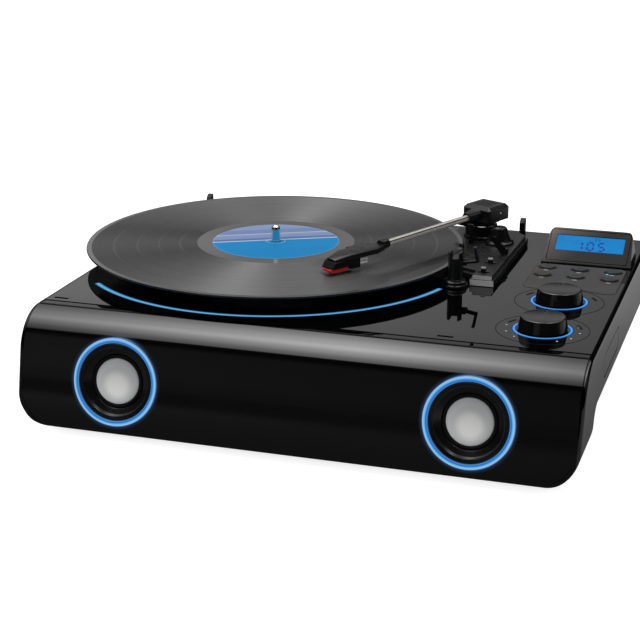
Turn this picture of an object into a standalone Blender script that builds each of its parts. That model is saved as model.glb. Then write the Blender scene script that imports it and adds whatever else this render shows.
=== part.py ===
"""Retro turntable with built-in speakers, as separate named pieces.

Metres, +Z up, +Y to the rear. The origin is under the middle of the whole
object's box, on the surface that the rubber feet stand on.
"""
import math

import bmesh
import bpy
from mathutils import Matrix

# General clearances and facets
GAP = 0.0003
OVERRUN = 0.001
SHARP_ANGLE = math.radians(35)
HALF_TURN = math.pi
PIN_STEPS = 12
ROUND_STEPS = 20
PEDESTAL_STEPS = 28
FULL_TURN = 2 * math.pi

# Record and platter
RECORD_RADIUS = 0.15075
RECORD_THICKNESS = 0.0015
RECORD_EDGE = 0.0006
RECORD_STEPS = 56
PLATTER_RADIUS = 0.098
PLATTER_TOP = 0.0117
PLATTER_WEB = 0.0032
PLATTER_RIM_WIDTH = 0.004
PLATTER_RIM_BOTTOM = 0.004
PLATTER_HUB_RADIUS = 0.012
PLATTER_HUB_BOTTOM = 0.002
PLATTER_STEPS = 36
BELT_RING_RADIUS = 0.061
BELT_RING_WIDTH = 0.003
BELT_RING_BOTTOM = 0.0028
BELT_THICKNESS = 0.001
BELT_BOTTOM = 0.0036
BELT_TOP = 0.0068
SPINDLE_RADIUS = 0.0036
SPINDLE_TOP = 0.0268
SPINDLE_TIP_HEIGHT = 0.003
SPINDLE_TIP_SHARE = 0.45
SPINDLE_DEPTH = 0.014
SLEEVE_WALL = 0.003
SLEEVE_FLANGE_RADIUS = 0.011
SLEEVE_FLANGE_THICKNESS = 0.003
SLEEVE_TOP = 0.0015

# Cabinet
CABINET_WIDTH = 0.410
CABINET_DEPTH = 0.3455
CABINET_HEIGHT = 0.082
BODY_HEIGHT = 0.044
WALL = 0.003
BEAD = 0.003
BEAD_STEPS = 3
LEDGE = 0.004
LEDGE_THICKNESS = 0.003
FRONT_TILT = math.radians(11)
NOSE_RADIUS = 0.032
NOSE_STEPS = 9
FRONT_FOOT_RADIUS = 0.007
FRONT_FOOT_STEPS = 3
FRONT_LIP = 0.003
BOX_DEPTH = 0.057
BOX_CORNER_RADIUS = 0.030
BOX_CORNER_STEPS = 6
BOX_REAR_RADIUS = 0.010
SWEEP_RADIUS = 0.014
SWEEP_STEPS = 4
PLATTER_FROM_LEFT = 0.129
PLATTER_FROM_BACK = 0.1392
SEAM_FROM_PLATTER = 0.1577
FOOT_HEIGHT = 0.005
FOOT_RADIUS = 0.009
FOOT_TAPER = 0.001
FOOT_FROM_SIDE = 0.055
FRONT_FOOT_FROM_FRONT = 0.032
REAR_FOOT_FROM_TRAY = 0.018
SERVICE_FROM_LEFT = 0.072
SERVICE_FROM_RIGHT = 0.100
SERVICE_FROM_BACK = 0.060
SERVICE_FROM_BOX = 0.030
TRAY_FROM_SIDE = 0.045
TRAY_FROM_BACK = 0.044
TRAY_WALL = 0.0025

# Deck
DECK_THICKNESS = 0.003
LIGHT_ARC_RADIUS = 0.1495
LIGHT_ARC_WIDTH = 0.005
LIGHT_ARC_START = math.radians(225)
LIGHT_ARC_END = math.radians(344)
LIGHT_ARC_STEPS = 28
GROOVE_DEPTH = 0.002
LIGHT_ARC_SINK = 0.0004
NOTCH_LENGTH = 0.0115
NOTCH_WIDTH = 0.003
NOTCH_DEPTH = 0.0015
NOTCH_FROM_SEAM = 0.0048
NOTCH_LEFT_FROM_PLATTER = 0.116
NOTCH_RIGHT_FROM_PLATTER = 0.176
LUG_LEFT_FROM_PLATTER = 0.1085
LUG_RIGHT_FROM_PLATTER = 0.175
LUG_WIDTH = 0.0046
LUG_DEPTH = 0.006
LUG_HEIGHT = 0.0122
LUG_SLOPE = 0.003
LUG_FROM_BACK = 0.0034

# Motor
MOTOR_FROM_PLATTER = 0.084
MOTOR_ANGLE = math.radians(135)
MOTOR_RADIUS = 0.016
MOTOR_HEIGHT = 0.024
MOTOR_SHAFT_RADIUS = 0.001
MOTOR_SHAFT_TOP = 0.0064
MOTOR_HOLE_RADIUS = 0.0085
PULLEY_RADIUS = 0.006
PULLEY_FLANGE = 0.0005
PULLEY_BOTTOM = 0.0026
PULLEY_TOP = 0.0078

# Speakers
SPEAKER_FROM_SIDE = 0.0765
SPEAKER_BELOW_DECK = 0.0423
SPEAKER_RING_RADIUS = 0.032
SPEAKER_RING_WIDTH = 0.0041
SPEAKER_RING_PROUD = 0.0008
SPEAKER_RING_DEPTH = 0.0061
SPEAKER_BEZEL_LIP = 0.0031
SPEAKER_BEZEL_LIP_DEPTH = 0.001
SPEAKER_THROAT_RADIUS = 0.0196
SPEAKER_THROAT_TOP = 0.005
SPEAKER_THROAT_BOTTOM = 0.009
SPEAKER_FLANGE_RADIUS = 0.0315
SPEAKER_FLANGE_THICKNESS = 0.002
SPEAKER_BASKET_DEPTH = 0.022
SPEAKER_MAGNET_RADIUS = 0.017
SPEAKER_MAGNET_DEPTH = 0.030
SPEAKER_POLE_DEPTH = 0.012
SPEAKER_POLE_RADIUS = 0.012
DOME_RADIUS = 0.0166
DOME_HEIGHT = 0.0038
DOME_SINK = 0.0015
DOME_STEPS = 4
CONE_THICKNESS = 0.001
SURROUND_RISE = 0.0012
SPEAKER_STEPS = 28

# Controls
CONTROL_FROM_RIGHT = 0.0416
PANEL_WIDTH = 0.070
PANEL_BACK_FROM_PLATTER = 0.047
PANEL_FRONT_FROM_PLATTER = -0.021
PANEL_SINK = 0.0008
PANEL_PROUD = 0.0003
PANEL_CORNER = 0.006
PANEL_DIP = 0.006
PANEL_DIP_SHARES = (-0.75, -0.5, -0.25, 0, 0.25, 0.5, 0.75)
BUTTON_SPACING = 0.0258
BUTTON_ROWS_FROM_PLATTER = (0.0362, 0.0155)
BUTTON_HALF_WIDTH = 0.00575
BUTTON_HALF_DEPTH = 0.0043
BUTTON_STEPS = 16
BUTTON_TOP = 0.0015
BUTTON_CROWN = 0.0004
BUTTON_FLANGE = 0.0014
BUTTON_FLANGE_THICKNESS = 0.0014
BUTTON_PIN_RADIUS = 0.0015
BUTTON_PIN_LENGTH = 0.0008
BUTTON_TRAVEL = 0.001
TACT_SIZE = 0.006
FUNCTION_KNOB_FROM_PLATTER = -0.0484
VOLUME_KNOB_FROM_PLATTER = -0.1163
KNOB_OFFSET = 0.002
KNOB_BASE_RADIUS = 0.0178
KNOB_TOP_RADIUS = 0.0161
KNOB_BOTTOM = 0.0008
KNOB_TOP = 0.0100
KNOB_EDGE = 0.0007
KNOB_SHAFT_RADIUS = 0.003
KNOB_SHAFT_DEPTH = 0.008
KNOB_STEPS = 28
KNOB_POINTER_WIDTH = 0.0016
KNOB_POINTER_DEPTH = 0.0005
KNOB_POINTER_SHARE = 0.55
KNOB_RING_RADIUS = 0.019
KNOB_RING_WIDTH = 0.0022
KNOB_RING_PROUD = 0.0004
POT_RADIUS = 0.008
POT_BOTTOM = 0.0121
BOARD_THICKNESS = 0.0016
BOARD_WIDTH = 0.066
BOARD_FROM_SEAM = 0.028

# Display
DISPLAY_LEFT_WIDTH = 0.0338
DISPLAY_RIGHT_WIDTH = 0.037
DISPLAY_FLANK = 0.0028
DISPLAY_FRONT_FROM_PLATTER = 0.0505
DISPLAY_LIP = 0.0008
DISPLAY_RUN = 0.0300
DISPLAY_RISE = 0.0202
DISPLAY_REAR = 0.0035
FRAME_WIDTH = 0.0635
FRAME_LENGTH = 0.0325
FRAME_THICKNESS = 0.0012
MODULE_WIDTH = 0.0537
MODULE_LENGTH = 0.0158
MODULE_THICKNESS = 0.003
MODULE_ABOVE_MIDDLE = 0.0032
MODULE_RIGHT_OF_MIDDLE = 0.0004

# Tonearm, whose tube turns about the pedestal
ARM_PIVOT_X = 0.1495
ARM_PIVOT_Y = 0.0844
ARM_ANGLE = math.radians(24.35)
BASE_LOWER = 0.005
BASE_HEIGHT = 0.008
BASE_STEP = 0.0018
BASE_FRONT = -0.0295
BASE_BACK = 0.108
BASE_STRIP_LEFT = 0.1655
BASE_RIGHT = 0.184
BASE_FLARE = 0.002
BASE_CUT = 0.009
BASE_LEFT = 0.125
BASE_BEND_SHARES = ((0.0, 0.56), (0.28, 0.37), (0.60, 0.16), (1.0, 0.10))
PEDESTAL_RADIUS = 0.013
PEDESTAL_TOP = 0.019
PEDESTAL_FOOT = 0.0012
PEDESTAL_FOOT_HEIGHT = 0.002
YOKE_RADIUS = 0.012
YOKE_TOP = 0.021
YOKE_SHAFT_RADIUS = 0.0037
YOKE_SHAFT_DEPTH = 0.009
EAR_LENGTH = 0.006
EAR_THICKNESS = 0.002
EAR_FROM_MIDDLE = 0.0092
EAR_TOP_MARGIN = 0.0025
PIN_BACK = 0.0076
PIN_HEIGHT = 0.0280
PIN_RADIUS = 0.0011
PIN_CLEARANCE = 0.0003
HOUSING_WIDTH = 0.028
HOUSING_FRONT = 0.0157
HOUSING_REAR = 0.0119
HOUSING_BELOW_PIN = 0.0060
HOUSING_SHOULDER = 0.0040
HOUSING_ABOVE_PIN = 0.0065
HOUSING_WALL = 0.0023
HOUSING_CORNER = 0.0020
HOUSING_REAR_CORNER = 0.0016
HOUSING_CROWN = 0.0025
COLLAR_RADIUS = 0.0040
COLLAR_LENGTH = 0.0128
NECK_WIDTH = 0.0130
NECK_CUT = 0.0020
TUBE_ABOVE_PIN = -0.0009
TUBE_RADIUS = 0.0026
TUBE_STEPS = 14
TUBE_END = 0.1346
TUBE_SOCKET = 0.006
SHELL_OFFSET_ANGLE = math.radians(7.5)
SHELL_COLLAR_LENGTH = 0.0027
SHELL_CAP = 0.0026
SHELL_WIDTH = 0.0165
SHELL_TIP_WIDTH = 0.0090
SHELL_LENGTH = 0.0525
SHELL_SHOULDER = 0.012
SHELL_SLOPE_START = 0.038
SHELL_TOP = 0.0012
SHELL_BOTTOM = -0.0032
SHELL_TIP_TOP = -0.0016
LIFT_START = 0.012
LIFT_LENGTH = 0.014
LIFT_WIDTH = 0.0045
LIFT_THICKNESS = 0.0012
CARTRIDGE_START = 0.028
CARTRIDGE_END = 0.0558
CARTRIDGE_WIDTH = 0.0130
CARTRIDGE_LOW = -0.0112
STYLUS_TOP = -0.0086
STYLUS_LOW = -0.0118
STYLUS_START = 0.038
STYLUS_SLANT = 0.0035
STYLUS_END = 0.0560
STYLUS_WIDTH = 0.0100
STYLUS_AT = 0.0530
STYLUS_TIP_RADIUS = 0.0004
STYLUS_NECK_RADIUS = 0.0011
ARM_LIFT_RANGE = math.radians(8)

# Cueing
LIFTER_RADIUS = 0.024
LIFTER_WIDTH = 0.003
LIFTER_THICKNESS = 0.0025
LIFTER_TOP = 0.0240
LIFTER_START = math.radians(2)
LIFTER_END = math.radians(44)
LIFTER_STEPS = 8
LIFTER_POST_ANGLE = math.radians(7)
LIFTER_POST_RADIUS = 0.002
LIFTER_POST_FOOT = 0.0025
LEVER_FROM_PIVOT_X = 0.029
LEVER_FROM_PIVOT_Y = -0.0500
LEVER_HEIGHT = 0.0105
LEVER_HUB_RADIUS = 0.0021
LEVER_THICKNESS = 0.0028
LEVER_LENGTH = 0.0125
LEVER_TIP_RADIUS = 0.0017
LEVER_LEAN = math.radians(39)
LEVER_PIN_RADIUS = 0.0011
LEVER_EAR_LENGTH = 0.0064
LEVER_EAR_THICKNESS = 0.002
CAP_FROM_PIVOT_X = 0.0185
CAP_FROM_PIVOT_Y = -0.0164
CAP_RADIUS = 0.012
CAP_HEIGHT = 0.0135
CAP_STEPS = 24
CAP_PROFILE_SHARES = (
    (1.0, 0.0), (1.0, 0.10), (0.88, 0.16), (0.72, 0.42), (0.56, 0.80), (0.44, 0.96), (0.3, 1.0))

# Arm rest
REST_X = 0.1552
REST_Y = -0.033
REST_FLANGE_RADIUS = 0.0098
REST_FLANGE_THICKNESS = 0.0048
REST_FLANGE_STEP = 0.0012
REST_RADIUS = 0.0057
REST_TOP = 0.027
REST_NOTCH_WIDTH = 0.0066
REST_NOTCH_DEPTH = 0.0045
CLIP_HEIGHT = 0.0193
CLIP_FROM_POST = 0.0022
CLIP_HUB_RADIUS = 0.0015
CLIP_WIDTH = 0.0050
CLIP_ARM = 0.0092
CLIP_REACH = 0.0110
CLIP_THICKNESS = 0.0018
CLIP_LIP = 0.0016
CLIP_PIN_RADIUS = 0.0008
CLIP_EAR_THICKNESS = 0.0018
CLIP_EAR_ROOT = 0.0035
CLIP_OPEN = math.radians(80)

# Slide switches
SWITCH_X = 0.1735
SPEED_SWITCH_Y = 0.009
STOP_SWITCH_Y = -0.017
SWITCH_LENGTH = 0.0036
SWITCH_DEPTH = 0.003
SWITCH_TOP = 0.0119
SWITCH_SINK = 0.0022
SWITCH_TRAVEL = 0.0026

# Side door and the mechanism behind it
DOOR_FRONT_FROM_PLATTER = -0.111
DOOR_BACK_FROM_PLATTER = -0.0395
DOOR_BELOW_DECK = 0.017
DOOR_HEIGHT = 0.0165
DOOR_CORNER = 0.005
DOOR_THICKNESS = 0.0024
DOOR_AXIS_INSET = 0.0018
DOOR_FLANGE = 0.0026
DOOR_STUB_RADIUS = 0.0011
DOOR_STUB_LENGTH = 0.0030
DOOR_BOSS_THICKNESS = 0.0030
DOOR_BOSS_MARGIN = 0.0009
DOOR_CLEARANCE = 0.0004
MECHANISM_LENGTH = 0.064
MECHANISM_FROM_WALL = 0.0185
MECHANISM_WALL = 0.0015
MECHANISM_FOOT = 0.0045
MECHANISM_FOOT_WIDTH = 0.006
MECHANISM_OVERHANG = 0.001
SLOT_HEIGHT = 0.0135

# Rear connectors
CONNECTOR_WIDTH = 0.054
CONNECTOR_HEIGHT = 0.018
CONNECTOR_DEPTH = 0.013
CONNECTOR_FROM_RIGHT = 0.090
CONNECTOR_BELOW_DECK = 0.022
CONNECTOR_SINK = 0.0005
JACK_SPACING = 0.0165
JACK_RADIUS = 0.0041
JACK_BORE_RADIUS = 0.0016
JACK_RELIEF_RADIUS = 0.0062
JACK_DEPTH = 0.008
POWER_BORE_RADIUS = 0.00275
POWER_BORE_DEPTH = 0.010

# Places worked out from the sizes above
PLATTER_X = (RECORD_RADIUS - (CABINET_WIDTH - PLATTER_FROM_LEFT)) / 2
PLATTER_Y = ((CABINET_DEPTH - PLATTER_FROM_BACK) - RECORD_RADIUS) / 2
LEFT = PLATTER_X - PLATTER_FROM_LEFT
RIGHT = LEFT + CABINET_WIDTH
BACK = PLATTER_Y + PLATTER_FROM_BACK
FRONT = BACK - CABINET_DEPTH
DECK_Z = FOOT_HEIGHT + CABINET_HEIGHT
BODY_Z = DECK_Z - BODY_HEIGHT
SEAM_Y = PLATTER_Y - SEAM_FROM_PLATTER
BOX_REAR = FRONT + BOX_DEPTH
TILT_COS = math.cos(FRONT_TILT)
TILT_TAN = math.tan(FRONT_TILT)
FACE_FOOT_Y = FRONT - FRONT_FOOT_RADIUS * (TILT_TAN + 1 / TILT_COS - 1)
SERVICE_OPENING_X = (LEFT + SERVICE_FROM_LEFT, RIGHT - SERVICE_FROM_RIGHT)
SERVICE_OPENING_Y = (BOX_REAR + SERVICE_FROM_BOX, BACK - SERVICE_FROM_BACK)
TRAY_X = (LEFT + TRAY_FROM_SIDE, RIGHT - TRAY_FROM_SIDE)
TRAY_Y = (BOX_REAR + SWEEP_RADIUS, BACK - TRAY_FROM_BACK)
CONTROL_X = RIGHT - CONTROL_FROM_RIGHT
KNOB_X = CONTROL_X - KNOB_OFFSET
MOTOR_X = PLATTER_X + MOTOR_FROM_PLATTER * math.cos(MOTOR_ANGLE)
MOTOR_Y = PLATTER_Y + MOTOR_FROM_PLATTER * math.sin(MOTOR_ANGLE)
SPEAKER_Z = DECK_Z - SPEAKER_BELOW_DECK
RECORD_BOTTOM = PLATTER_TOP + GAP
RECORD_TOP = RECORD_BOTTOM + RECORD_THICKNESS
BOARD_TOP = DECK_Z - POT_BOTTOM - GAP
PEDESTAL_AT = (PLATTER_X + ARM_PIVOT_X, PLATTER_Y + ARM_PIVOT_Y)
DOOR_TOP = DECK_Z - DOOR_BELOW_DECK
DOOR_Y = (PLATTER_Y + DOOR_FRONT_FROM_PLATTER, PLATTER_Y + DOOR_BACK_FROM_PLATTER)
DOOR_AXIS_X = RIGHT - WALL - DOOR_AXIS_INSET
DOOR_AXIS_Z = DOOR_TOP - DOOR_FLANGE / 2


# Finishes: colour, roughness, metallic
FINISHES = {
    "gloss_black": ((0.012, 0.012, 0.013), 0.06, 0.0),
    "satin_black": ((0.020, 0.020, 0.021), 0.35, 0.0),
    "matte_black": ((0.015, 0.015, 0.015), 0.60, 0.0),
    "vinyl": ((0.014, 0.014, 0.015), 0.25, 0.0),
    "blue_light": ((0.06, 0.34, 0.95), 0.30, 0.0),
    "chrome": ((0.75, 0.74, 0.72), 0.12, 1.0),
    "steel": ((0.45, 0.45, 0.46), 0.30, 1.0),
    "silver": ((0.70, 0.71, 0.71), 0.35, 0.9),
    "red_plastic": ((0.45, 0.015, 0.012), 0.30, 0.0),
    "pale_cap": ((0.75, 0.75, 0.74), 0.40, 0.0),
    "rubber": ((0.020, 0.020, 0.020), 0.80, 0.0),
    "display": ((0.03, 0.24, 0.80), 0.25, 0.0),
    "board_green": ((0.02, 0.16, 0.06), 0.50, 0.0),
    "brass": ((0.60, 0.42, 0.15), 0.30, 1.0),
    "white_plastic": ((0.70, 0.70, 0.68), 0.45, 0.0),
}


def clear_scene():
    """Remove every object, so that the script gives the same model each run."""
    for old in list(bpy.data.objects):
        bpy.data.objects.remove(old, do_unlink=True)


def material(name):
    """One Principled material for a piece, from the table of finishes."""
    colour, roughness, metallic = FINISHES[name]
    finish = bpy.data.materials.new(name)
    finish.use_nodes = True
    shader = finish.node_tree.nodes["Principled BSDF"]
    shader.inputs["Base Color"].default_value = (*colour, 1.0)
    shader.inputs["Roughness"].default_value = roughness
    shader.inputs["Metallic"].default_value = metallic
    return finish


def link_mesh(name, bm):
    """Turn a bmesh into a linked object with its faces pointing out."""
    bmesh.ops.recalc_face_normals(bm, faces=bm.faces)
    mesh = bpy.data.meshes.new(name)
    bm.to_mesh(mesh)
    bm.free()
    mesh.shade_smooth()
    mesh.set_sharp_from_angle(angle=SHARP_ANGLE)
    obj = bpy.data.objects.new(name, mesh)
    bpy.context.collection.objects.link(obj)
    return obj


def piece(name, finish, *solids):
    """A named piece from one or more solids, joined by Boolean unions."""
    obj = link_mesh(name, solids[0])
    obj.data.materials.append(material(finish))
    for extra in solids[1:]:
        boolean(obj, extra, "UNION")
    return obj


def group(name, finish, solids):
    """A named group of separate solids that don't touch."""
    bm = bmesh.new()
    for solid in solids:
        mesh = bpy.data.meshes.new("part_of_" + name)
        bmesh.ops.recalc_face_normals(solid, faces=solid.faces)
        solid.to_mesh(mesh)
        solid.free()
        bm.from_mesh(mesh)
        bpy.data.meshes.remove(mesh)
    obj = link_mesh(name, bm)
    obj.data.materials.append(material(finish))
    return obj


def boolean(obj, tool, operation="DIFFERENCE"):
    """Cut or join a tool, given as a bmesh or as an object, to a piece."""
    if isinstance(tool, bmesh.types.BMesh):
        tool = link_mesh(obj.name + "_tool", tool)
    tool.hide_render = True
    tool.display_type = "WIRE"
    tool.parent = obj.parent
    modifier = obj.modifiers.new(operation.lower(), "BOOLEAN")
    modifier.operation = operation
    modifier.solver = "EXACT"
    modifier.object = tool
    return tool


def axis_empty(name, location, rotation=(0, 0, 0), parent=None):
    """An empty on a joint's axis, which carries the pieces that move."""
    empty = bpy.data.objects.new(name, None)
    bpy.context.collection.objects.link(empty)
    empty.parent = parent
    empty.location = location
    empty.rotation_euler = rotation
    return empty


def carry(parent, *objects):
    """Parent pieces, and the tools that shape them, to an empty."""
    for obj in objects:
        obj.parent = parent
        for modifier in obj.modifiers:
            modifier.object.parent = parent


def loft(sections):
    """A closed solid through outlines that have the same number of points."""
    bm = bmesh.new()
    rings = [[bm.verts.new(point) for point in section] for section in sections]
    count = len(rings[0])
    for ring, following in zip(rings, rings[1:]):
        for i in range(count):
            j = (i + 1) % count
            bm.faces.new((ring[i], ring[j], following[j], following[i]))
    bm.faces.new(rings[0])
    bm.faces.new(reversed(rings[-1]))
    return bm


def prism(outline, low, high, axis="Z"):
    """A closed prism of a flat outline, drawn square to the given axis."""
    def place(point, level):
        first, second = point
        if axis == "X":
            return (level, first, second)
        if axis == "Y":
            return (first, level, second)
        return (first, second, level)
    return loft([[place(point, level) for point in outline] for level in (low, high)])


def box(low, high):
    """A closed box between two corners."""
    outline = [(low[0], low[1]), (high[0], low[1]), (high[0], high[1]), (low[0], high[1])]
    return prism(outline, low[2], high[2])


def turned(profile, steps, axis="Z", at=(0, 0, 0)):
    """A solid of revolution of a closed outline of (radius, height)."""
    bm = bmesh.new()

    def point(radius, height, angle):
        across = radius * math.cos(angle)
        along = radius * math.sin(angle)
        if axis == "X":
            return (at[0] + height, at[1] + across, at[2] + along)
        if axis == "Y":
            return (at[0] + across, at[1] + height, at[2] + along)
        return (at[0] + across, at[1] + along, at[2] + height)

    rings = []
    for radius, height in profile:
        if radius == 0:
            rings.append([bm.verts.new(point(0, height, 0))] * steps)
        else:
            rings.append([
                bm.verts.new(point(radius, height, FULL_TURN * i / steps)) for i in range(steps)
            ])
    for ring, following in zip(rings, rings[1:] + rings[:1]):
        for i in range(steps):
            j = (i + 1) % steps
            corners = []
            for corner in (ring[i], ring[j], following[j], following[i]):
                if corner not in corners:
                    corners.append(corner)
            if len(corners) > 2:
                bm.faces.new(corners)
    return bm


def arc(centre, radius_across, radius_up, start, end, steps):
    """Points on a circle, or on an ellipse, from one angle to another."""
    return [
        (
            centre[0] + radius_across * math.cos(start + (end - start) * i / steps),
            centre[1] + radius_up * math.sin(start + (end - start) * i / steps),
        )
        for i in range(steps + 1)
    ]


def circle(x, y, radius, steps):
    """A closed round outline."""
    return arc((x, y), radius, radius, 0, FULL_TURN, steps)[:-1]


def ellipse(x, y, half_width, half_depth, steps):
    """A closed oval outline."""
    return arc((x, y), half_width, half_depth, 0, FULL_TURN, steps)[:-1]


def rectangle(left, front, right, back):
    """A closed rectangular outline."""
    return [(left, front), (right, front), (right, back), (left, back)]


def rounded_rectangle(left, front, right, back, radius, steps=4):
    """A closed rectangular outline with round corners."""
    quarter = HALF_TURN / 2
    corners = (
        ((right - radius, back - radius), 0),
        ((left + radius, back - radius), quarter),
        ((left + radius, front + radius), 2 * quarter),
        ((right - radius, front + radius), 3 * quarter),
    )
    points = []
    for centre, start in corners:
        points += arc(centre, radius, radius, start, start + quarter, steps)
    return points


def band(x, y, inner, outer, start, end, steps):
    """A flat band that follows part of a circle."""
    return (
        arc((x, y), outer, outer, start, end, steps)
        + arc((x, y), inner, inner, end, start, steps)
    )


def ring_profile(inner, outer, low, high):
    """The section of a plain ring, for turning."""
    return [(inner, low), (outer, low), (outer, high), (inner, high)]


def bar_outline(start, end, start_radius, end_radius, steps=6):
    """A bar with round ends, from one point to another."""
    direction = math.atan2(end[1] - start[1], end[0] - start[0])
    quarter = HALF_TURN / 2
    near = arc(start, start_radius, start_radius, direction + quarter, direction + 3 * quarter, steps)
    far = arc(end, end_radius, end_radius, direction - quarter, direction + quarter, steps)
    return near + far


def face_y(height):
    """Where the tilted front face lies at a height."""
    return FACE_FOOT_Y + (height - FOOT_HEIGHT) * TILT_TAN


def nose_arc(skin, steps=NOSE_STEPS):
    """The roll of the nose from the deck down to the front face, set in by skin."""
    height = DECK_Z - NOSE_RADIUS
    centre = (face_y(height) + NOSE_RADIUS / TILT_COS, height)
    radius = NOSE_RADIUS - skin
    return arc(centre, radius, radius, HALF_TURN / 2, HALF_TURN - FRONT_TILT, steps)


def side_profile(skin, base):
    """The cabinet from the side, set in by skin on top and in front and by base elsewhere."""
    quarter = HALF_TURN / 2
    foot_height = FOOT_HEIGHT + FRONT_FOOT_RADIUS
    foot = (face_y(foot_height) + FRONT_FOOT_RADIUS / TILT_COS, foot_height)
    box_rear = (BOX_REAR - BOX_REAR_RADIUS, FOOT_HEIGHT + BOX_REAR_RADIUS)
    sweep = (BOX_REAR + SWEEP_RADIUS, BODY_Z - SWEEP_RADIUS)
    points = [(BACK - base, DECK_Z - skin)]
    points += nose_arc(skin)
    points += arc(
        foot, FRONT_FOOT_RADIUS - skin, FRONT_FOOT_RADIUS - base,
        HALF_TURN - FRONT_TILT, 3 * quarter, FRONT_FOOT_STEPS,
    )
    rear_radius = BOX_REAR_RADIUS - base
    points += arc(box_rear, rear_radius, rear_radius, 3 * quarter, 4 * quarter, SWEEP_STEPS)
    sweep_radius = SWEEP_RADIUS + base
    points += arc(sweep, sweep_radius, sweep_radius, 2 * quarter, quarter, SWEEP_STEPS)
    points.append((BACK - base, BODY_Z + base))
    return points


def skin_band(outer, inner, start_y, end_z):
    """The rolled skin of the front between two depths, from the deck to end_z."""
    def path(depth):
        return (
            [(start_y, DECK_Z - depth)]
            + nose_arc(depth)
            + [(face_y(end_z) + depth / TILT_COS, end_z)]
        )
    return path(outer) + path(inner)[::-1]


def corner_tool(inset):
    """What lies outside the round lower corners of the speaker box."""
    bottom = FOOT_HEIGHT
    radius = BOX_CORNER_RADIUS - inset
    centre_z = bottom + BOX_CORNER_RADIUS
    solids = []
    for side, edge in ((-1, LEFT), (1, RIGHT)):
        centre_x = edge - side * BOX_CORNER_RADIUS
        start = HALF_TURN * 3 / 2
        end = start + side * HALF_TURN / 2
        outline = arc((centre_x, centre_z), radius, radius, start, end, BOX_CORNER_STEPS)
        outside = edge + side * OVERRUN
        outline += [
            (outside, centre_z),
            (outside, bottom - OVERRUN),
            (centre_x, bottom - OVERRUN),
        ]
        solids.append(prism(outline, FRONT - BEAD, BOX_REAR + SWEEP_RADIUS, "Y"))
    return group("corner_tool", "satin_black", solids)


def cabinet():
    """The moulded frame that everything is fixed to."""
    sections = []
    for side, edge in ((1, LEFT), (-1, RIGHT)):
        rounded = []
        for i in range(BEAD_STEPS + 1):
            angle = HALF_TURN / 2 * i / BEAD_STEPS
            x = edge + side * BEAD * (1 - math.cos(angle))
            inset = BEAD * (1 - math.sin(angle))
            rounded.append([(x, y, z) for y, z in side_profile(inset, inset)])
        sections += rounded if side > 0 else rounded[::-1]
    shell = piece("cabinet_shell", "gloss_black", loft(sections))
    boolean(shell, corner_tool(0))

    inside = (LEFT + WALL, RIGHT - WALL)
    skin = DECK_THICKNESS + LEDGE_THICKNESS
    cavity = link_mesh("cavity_tool", prism(side_profile(skin, WALL), *inside, "X"))
    boolean(cavity, corner_tool(WALL))
    boolean(shell, cavity)

    recess_outline = skin_band(-OVERRUN, DECK_THICKNESS + GAP, SEAM_Y, FOOT_HEIGHT + FRONT_LIP)
    recess = link_mesh("front_recess_tool", prism(recess_outline, *inside, "X"))
    boolean(recess, corner_tool(WALL))
    boolean(shell, recess)

    inset = (inside[0] + LEDGE, inside[1] - LEDGE)
    window_outline = skin_band(
        DECK_THICKNESS / 2, skin + OVERRUN, SEAM_Y - LEDGE, FOOT_HEIGHT + FRONT_LIP + LEDGE)
    window = link_mesh("front_window_tool", prism(window_outline, *inset, "X"))
    boolean(window, corner_tool(WALL + LEDGE))
    boolean(shell, window)

    deck_floor = DECK_Z - DECK_THICKNESS - GAP
    boolean(shell, box((inside[0], SEAM_Y, deck_floor), (inside[1], BACK - WALL, DECK_Z + OVERRUN)))
    boolean(shell, box(
        (inset[0], SEAM_Y + LEDGE, DECK_Z - skin - OVERRUN),
        (inset[1], BACK - WALL - LEDGE, DECK_Z)))
    door_y = (DOOR_Y[0] - DOOR_CLEARANCE, DOOR_Y[1] + DOOR_CLEARANCE)
    door_z = (DOOR_TOP - DOOR_HEIGHT - DOOR_CLEARANCE, DOOR_TOP + DOOR_CLEARANCE)
    door_hole = rounded_rectangle(
        door_y[0], door_z[0], door_y[1], door_z[1], DOOR_CORNER + DOOR_CLEARANCE)
    connector_x = RIGHT - CONNECTOR_FROM_RIGHT
    connector_z = DECK_Z - CONNECTOR_BELOW_DECK
    half_w = CONNECTOR_WIDTH / 2 + GAP
    half_h = CONNECTOR_HEIGHT / 2 + GAP
    openings = group("openings_tool", "satin_black", [
        box(
            (SERVICE_OPENING_X[0], SERVICE_OPENING_Y[0], BODY_Z - OVERRUN),
            (SERVICE_OPENING_X[1], SERVICE_OPENING_Y[1], BODY_Z + WALL + OVERRUN)),
        prism(door_hole, RIGHT - WALL - OVERRUN, RIGHT + OVERRUN, "X"),
        box(
            (connector_x - half_w, BACK - WALL - OVERRUN, connector_z - half_h),
            (connector_x + half_w, BACK + OVERRUN, connector_z + half_h)),
    ])
    boolean(shell, openings)
    boolean(shell, door_bosses(), "UNION")


def door_bosses():
    """Two bosses inside the right wall, each with a bore for a door stub."""
    bosses = []
    bores = []
    half = DOOR_FLANGE / 2 + DOOR_BOSS_MARGIN
    for side, end in ((-1, DOOR_Y[0]), (1, DOOR_Y[1])):
        near = end + side * DOOR_CLEARANCE
        far = near + side * DOOR_BOSS_THICKNESS
        low_y, high_y = sorted((near, far))
        bosses.append(box(
            (DOOR_AXIS_X - half, low_y, DOOR_AXIS_Z - half),
            (RIGHT - WALL / 2, high_y, DOOR_AXIS_Z + half)))
        bores.append(prism(
            circle(DOOR_AXIS_X, DOOR_AXIS_Z, DOOR_STUB_RADIUS + GAP, TUBE_STEPS),
            low_y - OVERRUN, high_y + OVERRUN, "Y"))
    boss = group("door_boss_tool", "gloss_black", bosses)
    boolean(boss, group("door_bore_tool", "gloss_black", bores))
    return boss


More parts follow.
